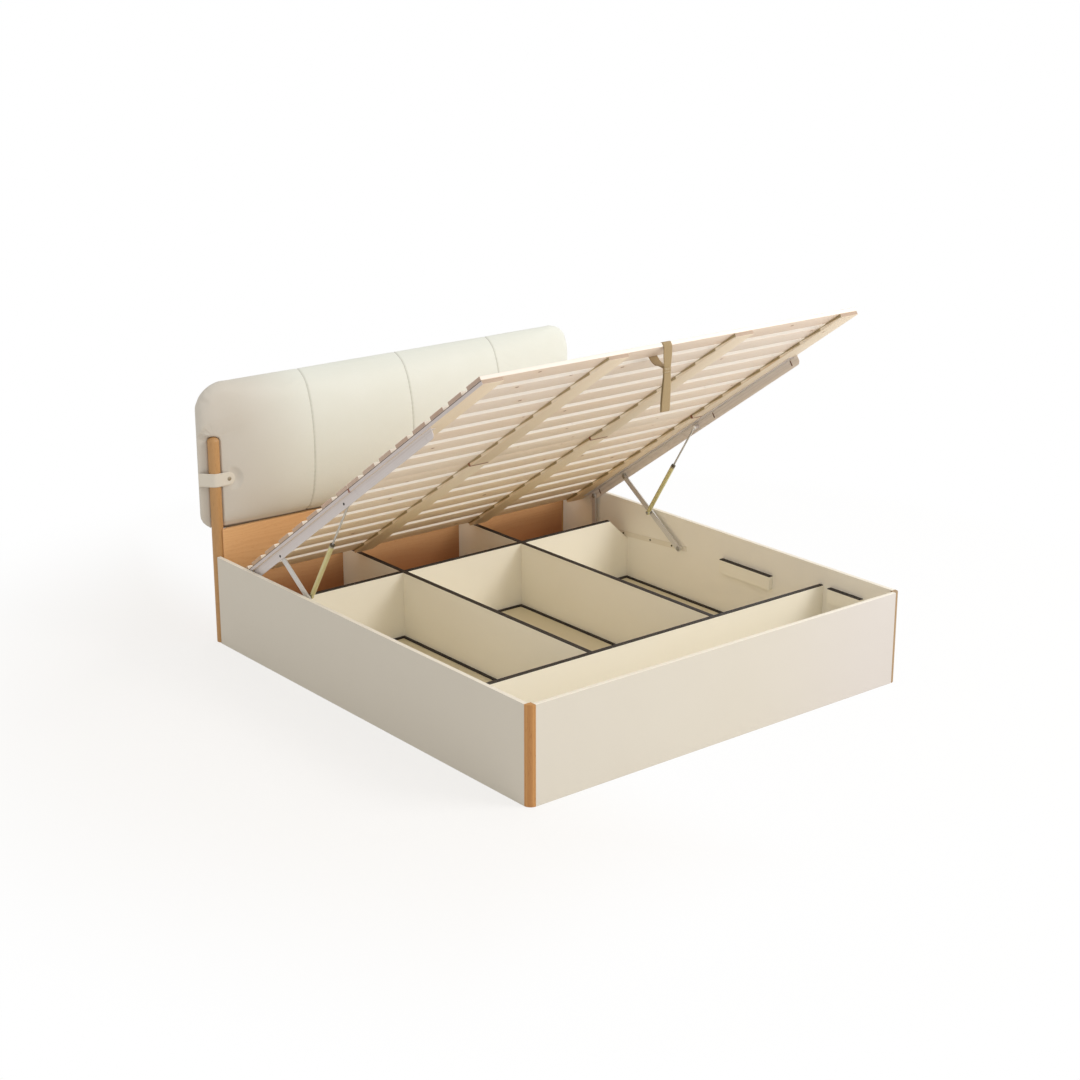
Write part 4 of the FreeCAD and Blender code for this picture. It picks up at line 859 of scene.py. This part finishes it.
# Down and up again along the hanging tail, round the foot slat, and back into the gather
pull_path = resample(rounded_path(
    from_gather((1.55 * WEB, -0.001), (1.5 * WEB, -0.022), (2.0 * WEB, -0.08), (1.8 * WEB, TAIL_DROP + 0.012),
                (1.2 * WEB, TAIL_DROP + 1 * MM), (-0.1 * WEB, TAIL_DROP + 1 * MM),
                (-0.7 * WEB, TAIL_DROP + 0.012), (-0.9 * WEB, -0.08), (-0.5 * WEB, -0.022), (-0.5 * WEB, 0))
    + [deck_vector(near_edge, low) + Vector((0, 0.4 * MM, 0)), deck_vector(near_edge, high),
       deck_vector(far_edge, high), deck_vector(far_edge, low)]
    + from_gather((0.062, 0.0095), (0.046, 1.5 * MM), (0.020, -1.5 * MM), (0.6 * WEB, -5 * MM),
                  (0.5 * WEB, -0.022)), 6 * MM), 3 * MM)
pull_lengths = [0.0]
for first, second in zip(pull_path, pull_path[1:]):
    pull_lengths.append(pull_lengths[-1] + (second - first).length)


def pull_width(point):
    """Full width, drawn in where the webbing is sewn together."""
    rise = point.z - gather.z
    if rise > 0:
        drawn = max(0, 1 - rise / 0.045) if point.y < gather.y + 0.012 else 0
    else:
        drawn = max(0, 1 - max(0, -rise - 0.022) / 0.11)
    return PULL_WIDTH - 0.0095 * drawn ** 1.3


def pull_middle(point):
    """X of the webbing's middle: the tail swings a little aside below the gather."""
    return PULL_X - 0.006 * eased(max(0, gather.z - 0.02 - point.z) / 0.14)


def pull_point(layer, row, column):
    middle = pull_path[row]
    run = (pull_path[min(row + 1, len(pull_path) - 1)] - pull_path[max(row - 1, 0)]).normalized()
    share = column / PULL_COLUMNS * 2 - 1
    thinned = 1 - 0.55 * max(0, abs(share) - 0.86) / 0.14
    point = middle + Vector((0, -run.z, run.y)) * (0.5 - layer) * 0.94 * WEB * thinned
    point.x += pull_middle(middle) + share * pull_width(middle) / 2
    return point


def pull_uv(row, column):
    return pull_lengths[row], (column / PULL_COLUMNS - 0.5) * PULL_WIDTH


shape = bmesh.new()
add_band(shape, pull_point, len(pull_path) - 1, PULL_COLUMNS, pull_uv)
put("webbing_pull", shape, khaki_webbing, "deck", ("pull_strap",))

# A sewn sleeve of the same webbing holds the gather, with rows of stitches across it
shape = bmesh.new()
uv = shape.loops.layers.uv.new("webbing")
rings = []
for rise, grown in ((-0.001, -1.2), (-0.0016, 0.0), (-0.0205, 0.0), (-0.0212, -1.2)):
    ring = []
    for turn in (2 * math.pi * step / 48 for step in range(48)):
        out_x = math.copysign(abs(math.cos(turn)) ** 0.3, math.cos(turn)) * (0.0172 + grown * MM)
        out_y = math.copysign(abs(math.sin(turn)) ** 0.5, math.sin(turn)) * (0.0056 + grown * MM)
        ring.append(shape.verts.new(gather + Vector((PULL_X + out_x, 0.0014 + out_y, rise))))
    rings.append(ring)
for face, row, step in join_rings(shape, rings):
    for loop, (over, up) in zip(face.loops, ((0, 0), (1, 0), (1, 1), (0, 1))):
        loop[uv].uv = ((step + over) * 0.0022, (row + up) * 0.004)
put("webbing_gather_sleeve", shape, khaki_webbing, "deck")
shape = bmesh.new()
for drop in (-0.0045, -0.0085, -0.0175):
    for step in range(9):
        spot = gather + Vector((PULL_X - 0.0148 + step * 0.0034, 0.0014 - 0.0057, drop))
        turn_form(shape, axis_frame(spot, (1, 0, 0)), ((0, 0), (0.5, 0.3), (0.6, 1.3), (0.5, 2.3), (0, 2.6)), 6)
put("webbing_stitches", shape, thread, "deck")

# Leather straps round the posts, with stitches and studs

STRAP_THICK = 3 * MM
STRAP_HEIGHT = 0.056
STRAP_MIDDLE = 0.695
STRAP_START = (0.057, 0.030)
STRAP_TIP = (0.074, 0.029)
STRAP_INNER = POST_RADIUS + 0.3 * MM
STRAP_ROWS, STRAP_COLUMNS = 96, 16


def on_circle(turn):
    return Vector((STRAP_INNER * math.cos(turn), STRAP_INNER * math.sin(turn)))


def tangent_turn(reach, sense):
    return math.atan2(reach.y, reach.x) + sense * math.acos(STRAP_INNER / reach.length)


def strap_line(side):
    """Points and outward normals of the strap's inner face in plan, from its outer end to its tip."""
    outer = Vector((side * STRAP_START[0], STRAP_START[1]))
    tip = Vector((-side * STRAP_TIP[0], -STRAP_TIP[1]))
    first, last = tangent_turn(outer, -side), tangent_turn(tip, side)
    while (last - first) * side > 0:
        last -= side * 2 * math.pi
    touch = [on_circle(first), on_circle(last)]
    spans = [(touch[0] - outer).length, STRAP_INNER * abs(last - first), (tip - touch[1]).length]
    total = sum(spans)
    line = []
    for along in (total * step / STRAP_ROWS for step in range(STRAP_ROWS + 1)):
        if along < spans[0]:
            spot, normal = outer.lerp(touch[0], along / spans[0]), touch[0]
        elif along < spans[0] + spans[1]:
            spot = normal = on_circle(first + (last - first) * (along - spans[0]) / spans[1])
        else:
            spot, normal = touch[1].lerp(tip, (along - spans[0] - spans[1]) / spans[2]), touch[1]
        line.append((along, spot, normal.normalized()))
    return line, total


STITCH = ((0, 0), (0.45, 0.3), (0.55, 1.5), (0.45, 2.7), (0, 3))
STUD = ((8.6, -0.2), (8.6, 0.6), (8, 0.9)) + dome(7.7, 3, 0.8, 8)
studs = bmesh.new()
for side_name, side in SIDES:
    line, total = strap_line(side)
    origin = Vector((side * POST_X, POST_Y, STRAP_MIDDLE))

    def strap_point(layer, row, column):
        """A point of the strap: a half round tip, and edges that thin out."""
        along, spot, normal = line[row]
        left = total - along
        half = STRAP_HEIGHT / 2
        if left < half:
            half = math.sqrt(max(0, half ** 2 - (half - left) ** 2))
        half = max(half, 1 * MM)
        share = column / STRAP_COLUMNS * 2 - 1
        firm = min(1.0, (1 - abs(share)) * half / (1.2 * MM), left / (1.0 * MM) + 0.3)
        thick = STRAP_THICK * (0.5 + (layer - 0.5) * (0.55 + 0.45 * firm ** 0.5))
        return origin + Vector((*(spot + normal * thick), share * half))

    shape = bmesh.new()
    add_band(shape, strap_point, STRAP_ROWS, STRAP_COLUMNS)
    put("leather_post_strap_" + side_name, shape, strap_leather, "box",
        ("leather_strap_" + side_name,))

    # Stitches along both long edges
    shape = bmesh.new()
    for edge in (-1, 1):
        for step in range(3, STRAP_ROWS + 1 - 12, 3):
            _, spot, normal = line[step]
            top = spot + normal * (STRAP_THICK + 0.15 * MM)
            run = line[step + 1][1] - spot
            place = axis_frame(origin + Vector((*top, edge * (STRAP_HEIGHT / 2 - 4 * MM))), (*run, 0))
            turn_form(shape, place, STITCH, 8)
    put("strap_stitches_" + side_name, shape, thread, "box")

    _, tip, normal = line[-1]
    spot = (normal * STRAP_INNER).lerp(tip, 0.67) + normal * STRAP_THICK
    turn_form(studs, axis_frame(origin + Vector((*spot, 0)), (*normal, 0)), STUD, 40)
put("strap_snap_studs", studs, satin_brass, "box", ("strap_studs",))

# Headboard cushion: inflated as cloth from the frame's solid, then seamed

CUSHION_TOP = 1.092
CUSHION_LOW = 0.4816
CUSHION_END = 0.957
CORNER = 0.114
CORNER_ROUND = 0.09
LARGEST_SWELL = 7 * MM
LAST_STEP = 20


def seam_near(x):
    return min(abs(x - seam) for seam in (-SEAM_SPACING, 0.0, SEAM_SPACING))


def held(point):
    """How firmly the cloth is held at a point: at its back, in the posts' rooms and at seams."""
    outward = abs(point.x)
    beside_post = Vector((outward - POST_X, point.y - POST_Y)).length
    at_back = point.y > CUSHION_BACK - 7 * MM
    in_room = point.z < POST_HEIGHT + 14 * MM and beside_post < POST_RADIUS + 9 * MM
    on_flap = point.z < POST_HEIGHT + 6 * MM and outward > POST_X + 10 * MM
    if at_back or in_room or on_flap:
        return 1.0
    return 0.85 if seam_near(point.x) < 5 * MM else 0.0


def strap_press(point):
    """How firmly the cushion's face is pressed back under and round a strap's tip."""
    inward = POST_X - abs(point.x)
    tall = abs(point.z - STRAP_MIDDLE)
    past = Vector((max(0, inward - 0.050), tall)).length - 0.028
    return eased((inward + 0.02) / 0.01) * eased(1 - max(0, past) / 0.030)


def pillow_face(outward, height):
    """Y of the plain pillow's face at a distance from the middle and a height."""
    depth = 0.026 + 0.134 * max(0, 1 - (outward / CUSHION_END) ** 2.2) ** 0.6
    middle, half = (CUSHION_TOP + CUSHION_LOW) / 2, (CUSHION_TOP - CUSHION_LOW) / 2
    power = 2 if height > middle else 2.6
    rise = math.sqrt(max(0, 1 - min(1, abs(height - middle) / half) ** power))
    return CUSHION_BACK - 0.030 - max(0, depth - 0.030) * rise


def face_target(point):
    """Y of the face with a soft hollow beside each post, and how far it rules at a point."""
    outward, height = abs(point.x), point.z
    inward = POST_X - outward
    beside = POST_Y - 17 * MM - pillow_face(POST_X - POST_RADIUS, height)
    fade = eased((0.955 - height) / 0.095)
    hollow = max(0, beside) * math.exp(-(max(0, inward - POST_RADIUS) / 0.105) ** 2) * fade
    below_top = eased((1.066 - height) / 0.03)
    rules = eased((inward + 2 * MM) / 0.012) * eased((height - 0.505) / 0.02) * below_top
    above = eased((height - 0.866) / 0.012) * eased((0.949 - outward) / 0.022) * below_top
    return pillow_face(outward, height) + hollow, max(rules, above)


def rounder_corner(point):
    """Draws the pillow's upper corners in to a larger round."""
    across, up = abs(point.x) - CUSHION_END + CORNER, point.z - CUSHION_TOP + CORNER
    if across <= 0 or up <= 0:
        return
    reach = math.hypot(across, up)
    cosine, sine = across / reach, up / reach
    middle = CORNER - CORNER_ROUND
    if CORNER * sine / cosine < middle:
        edge = CORNER / cosine
    elif CORNER * cosine / sine < middle:
        edge = CORNER / sine
    else:
        lean = middle * (cosine + sine)
        edge = lean + math.sqrt(max(0, CORNER_ROUND ** 2 - 2 * middle ** 2 + lean ** 2))
    drawn = (CORNER / edge - 1) * min(1, reach / edge) ** 2
    point.x += across * drawn * (1 if point.x > 0 else -1)
    point.z += up * drawn


def sewn(point, normal):
    """The groove of a seam, short puckers across it, and creases that run out from a post's top."""
    near = seam_near(point.x)
    point -= normal * 3.5 * MM * math.exp(-(near / (3.4 * MM)) ** 2)
    ripple = math.sin(point.z * 2 * math.pi / 0.021 + point.x * 9) * math.exp(-(near / 0.013) ** 2)
    point -= normal * 0.45 * MM * ripple
    spoke = Vector((abs(point.x) - POST_X, point.z - POST_HEIGHT - 4 * MM))
    if 0.02 < spoke.length < 0.09 and spoke.y > -0.03:
        turn = math.atan2(spoke.y, spoke.x)
        wave = math.sin(turn * 11 + 0.8) + 0.6 * math.sin(turn * 23 + point.z * 60)
        deep = 0.25 + 0.75 * eased(spoke.x / 0.03)
        point -= normal * 0.9 * MM * wave * deep * eased((0.07 - spoke.length) / 0.04)


def fitted(point):
    """Keeps the cushion clear of the back board, the posts, the straps and the head panel."""
    point.y = min(point.y, CUSHION_BACK - 0.2 * MM)
    inward = POST_X - abs(point.x)
    up_dome = max(0, (point.z - POST_HEIGHT + 0.019) / 0.0215)
    least = (POST_RADIUS + 0.8 * MM) * math.sqrt(max(0, 1 - up_dome ** 2))
    if abs(inward) < least and point.y < CUSHION_BACK - 9 * MM:
        point.y = max(point.y, POST_Y + math.sqrt(least ** 2 - inward ** 2))
    press = strap_press(point)
    if press > 0 and point.y < POST_Y:
        under_strap = POST_Y - POST_RADIUS + 0.1 * MM - 0.0048 * (inward + 0.0015) / 0.0755
        point.y += max(0, under_strap - point.y) * press
    if point.z < 0.5 and inward > 0:
        rest = CUSHION_LOW + 0.3 * MM if point.y > POST_Y - 9 * MM else 0.4864
        point.z += (rest - point.z) * eased((0.5 - point.z) / 0.010)


def stand_in(name, mesh):
    """An object that carries a mesh while modifiers work on it."""
    made = bpy.data.objects.new(name, mesh)
    bpy.context.scene.collection.objects.link(made)
    return made


def baked(piece):
    """A new mesh of a stand-in with its modifiers applied. The stand-in goes."""
    graph = bpy.context.evaluated_depsgraph_get()
    mesh = bpy.data.meshes.new_from_object(piece.evaluated_get(graph))
    bpy.data.objects.remove(piece)
    return mesh


def inflated(mesh):
    """The cover blown up as cloth, each point by the largest swell at most."""
    piece = stand_in("cushion_cloth", mesh)
    group = piece.vertex_groups.new(name="held")
    for vert in mesh.vertices:
        weight = held(vert.co)
        if weight:
            group.add([vert.index], weight, "REPLACE")
    before = [vert.co.copy() for vert in mesh.vertices]
    cloth = modify(piece, "CLOTH")
    for name, value in dict(quality=4, mass=0.35, tension_stiffness=24, compression_stiffness=18,
                            shear_stiffness=8, bending_stiffness=1.2, use_pressure=True,
                            uniform_pressure_force=4.0, vertex_group_mass="held").items():
        setattr(cloth.settings, name, value)
    cloth.settings.effector_weights.gravity = 0
    cloth.collision_settings.use_collision = False
    cloth.point_cache.frame_start = 1
    cloth.point_cache.frame_end = LAST_STEP
    for step in range(1, LAST_STEP + 1):
        bpy.context.scene.frame_set(step)
    swollen = baked(piece)
    bpy.context.scene.frame_set(1)
    for vert, old in zip(swollen.vertices, before):
        move = vert.co - old
        if move.length > LARGEST_SWELL:
            vert.co = old + move.normalized() * LARGEST_SWELL
    return swollen


def cushion_mesh():
    start = stand_in("cushion_start", nodes["headboard_cushion"].data.copy())
    modify(start, "WELD", merge_threshold=1e-5)
    modify(start, "REMESH", mode="VOXEL", voxel_size=0.0065)
    cover = baked(start)
    facing = [vert.normal.y for vert in cover.vertices]
    for vert, turned in zip(cover.vertices, facing):
        if turned < -0.25 or (abs(vert.co.x) < POST_X - POST_RADIUS and vert.co.y < CUSHION_BACK - 12 * MM
                              and 0.56 < vert.co.z < 1.0):
            wanted, rules = face_target(vert.co)
            vert.co.y += (wanted - vert.co.y) * rules
    cover = inflated(cover)
    smooth_piece = stand_in("cushion_smooth", cover)
    modify(smooth_piece, "SMOOTH", factor=0.5, iterations=6)
    modify(smooth_piece, "SUBSURF", levels=1, render_levels=1)
    fine = baked(smooth_piece)
    fine.materials.clear()
    normals = [vert.normal.copy() for vert in fine.vertices]
    for vert, normal in zip(fine.vertices, normals):
        rounder_corner(vert.co)
        if vert.co.y < CUSHION_BACK - 9 * MM:
            sewn(vert.co, normal)
        fitted(vert.co)
    return fine


cushion = put("headboard_leather_cushion", cushion_mesh(), cushion_leather, "box",
              ("headboard_cushion",))

# Floor, light and camera

floor_mesh = bpy.data.meshes.new("studio_floor")
floor_mesh.from_pydata([(-40, -40, 0), (40, -40, 0), (40, 40, 0), (-40, 40, 0)], [], [(0, 1, 2, 3)])
floor = stand_in("studio_floor", floor_mesh)
floor.location.z = -0.5 * MM
floor_paint = bpy.data.materials.new("studio_floor_paint")
floor_paint.use_nodes = True
tree = floor_paint.node_tree
tree.nodes.clear()
# What lights the bed is plain paint. What the camera sees is pale with a glow near the bed, where it
# takes the shadow, and white further off.
plain = node(tree, "ShaderNodeBsdfDiffuse", {"Color": (0.92, 0.905, 0.885, 1)})
pale = node(tree, "ShaderNodeBsdfDiffuse", {"Color": (0.28, 0.28, 0.28, 1)})
glow = node(tree, "ShaderNodeEmission", {"Color": (1.0, 0.985, 0.965, 1), "Strength": 0.70})
near_bed = node(tree, "ShaderNodeAddShader", {0: pale.outputs[0], 1: glow.outputs[0]})
white_floor = node(tree, "ShaderNodeEmission", {"Color": (1, 1, 1, 1), "Strength": 1.0})
spot = outputs(node(tree, "ShaderNodeTexCoord"))["Object"]
away = spot.node("ShaderNodeVectorMath", {0: spot}, "Value", operation="LENGTH")
x, y, _ = spot.split()
clear = x.ramp(-1.02, -0.35, 0.0, 0.85).math("MAXIMUM", y.ramp(-1.15, -2.1, 0.0, 0.92))
clear = clear.math("MAXIMUM", away.ramp(1.6, 3.1))
seen = node(tree, "ShaderNodeMixShader", {0: clear, 1: near_bed.outputs[0], 2: white_floor.outputs[0]})
by_camera = outputs(node(tree, "ShaderNodeLightPath"))["Is Camera Ray"]
choice = node(tree, "ShaderNodeMixShader", {0: by_camera, 1: plain.outputs[0], 2: seen.outputs[0]})
node(tree, "ShaderNodeOutputMaterial", {0: choice.outputs[0]})
floor_mesh.materials.append(floor_paint)

world = bpy.data.worlds.new("studio")
bpy.context.scene.world = world
world.use_nodes = True
tree = world.node_tree
tree.nodes.clear()
path = outputs(node(tree, "ShaderNodeLightPath"))
shown = path["Is Camera Ray"].math("MAXIMUM", path["Is Glossy Ray"])
shown = shown.math("MAXIMUM", path["Is Transmission Ray"])
heading = outputs(node(tree, "ShaderNodeTexCoord"))["Generated"].split()[0]
soft_strength = heading.scaled(0.12, 0.775)
soft = node(tree, "ShaderNodeBackground", {"Color": (1.0, 0.98, 0.95, 1), "Strength": soft_strength})
white = node(tree, "ShaderNodeBackground", {"Color": (1, 1, 1, 1), "Strength": 1.0})
both = node(tree, "ShaderNodeMixShader", {0: shown, 1: soft.outputs[0], 2: white.outputs[0]})
node(tree, "ShaderNodeOutputWorld", {0: both.outputs[0]})

key_light = bpy.data.lights.new("key_softbox", "AREA")
for name, value in dict(energy=300, shape="RECTANGLE", size=4.0, size_y=3.0, color=(1.0, 0.99, 0.98)).items():
    setattr(key_light, name, value)
key = stand_in("key_softbox", key_light)
key.location = (4.2, -6.0, 5.2)
key.rotation_euler = (Vector((0, 0, 0.5)) - key.location).to_track_quat("-Z", "Y").to_euler()

camera_data = bpy.data.cameras.new("photo_camera")
camera_data.lens = 68.47
camera_data.sensor_width = 36
camera_data.clip_end = 200
camera = stand_in("photo_camera", camera_data)
camera.location = (-4.8842, -5.9719, 3.0131)
camera.rotation_euler = (math.radians(90 - 17.939), 0, math.radians(-38.961))
bpy.context.scene.camera = camera
bpy.context.scene.view_settings.view_transform = "Standard"

bpy.context.view_layer.update()
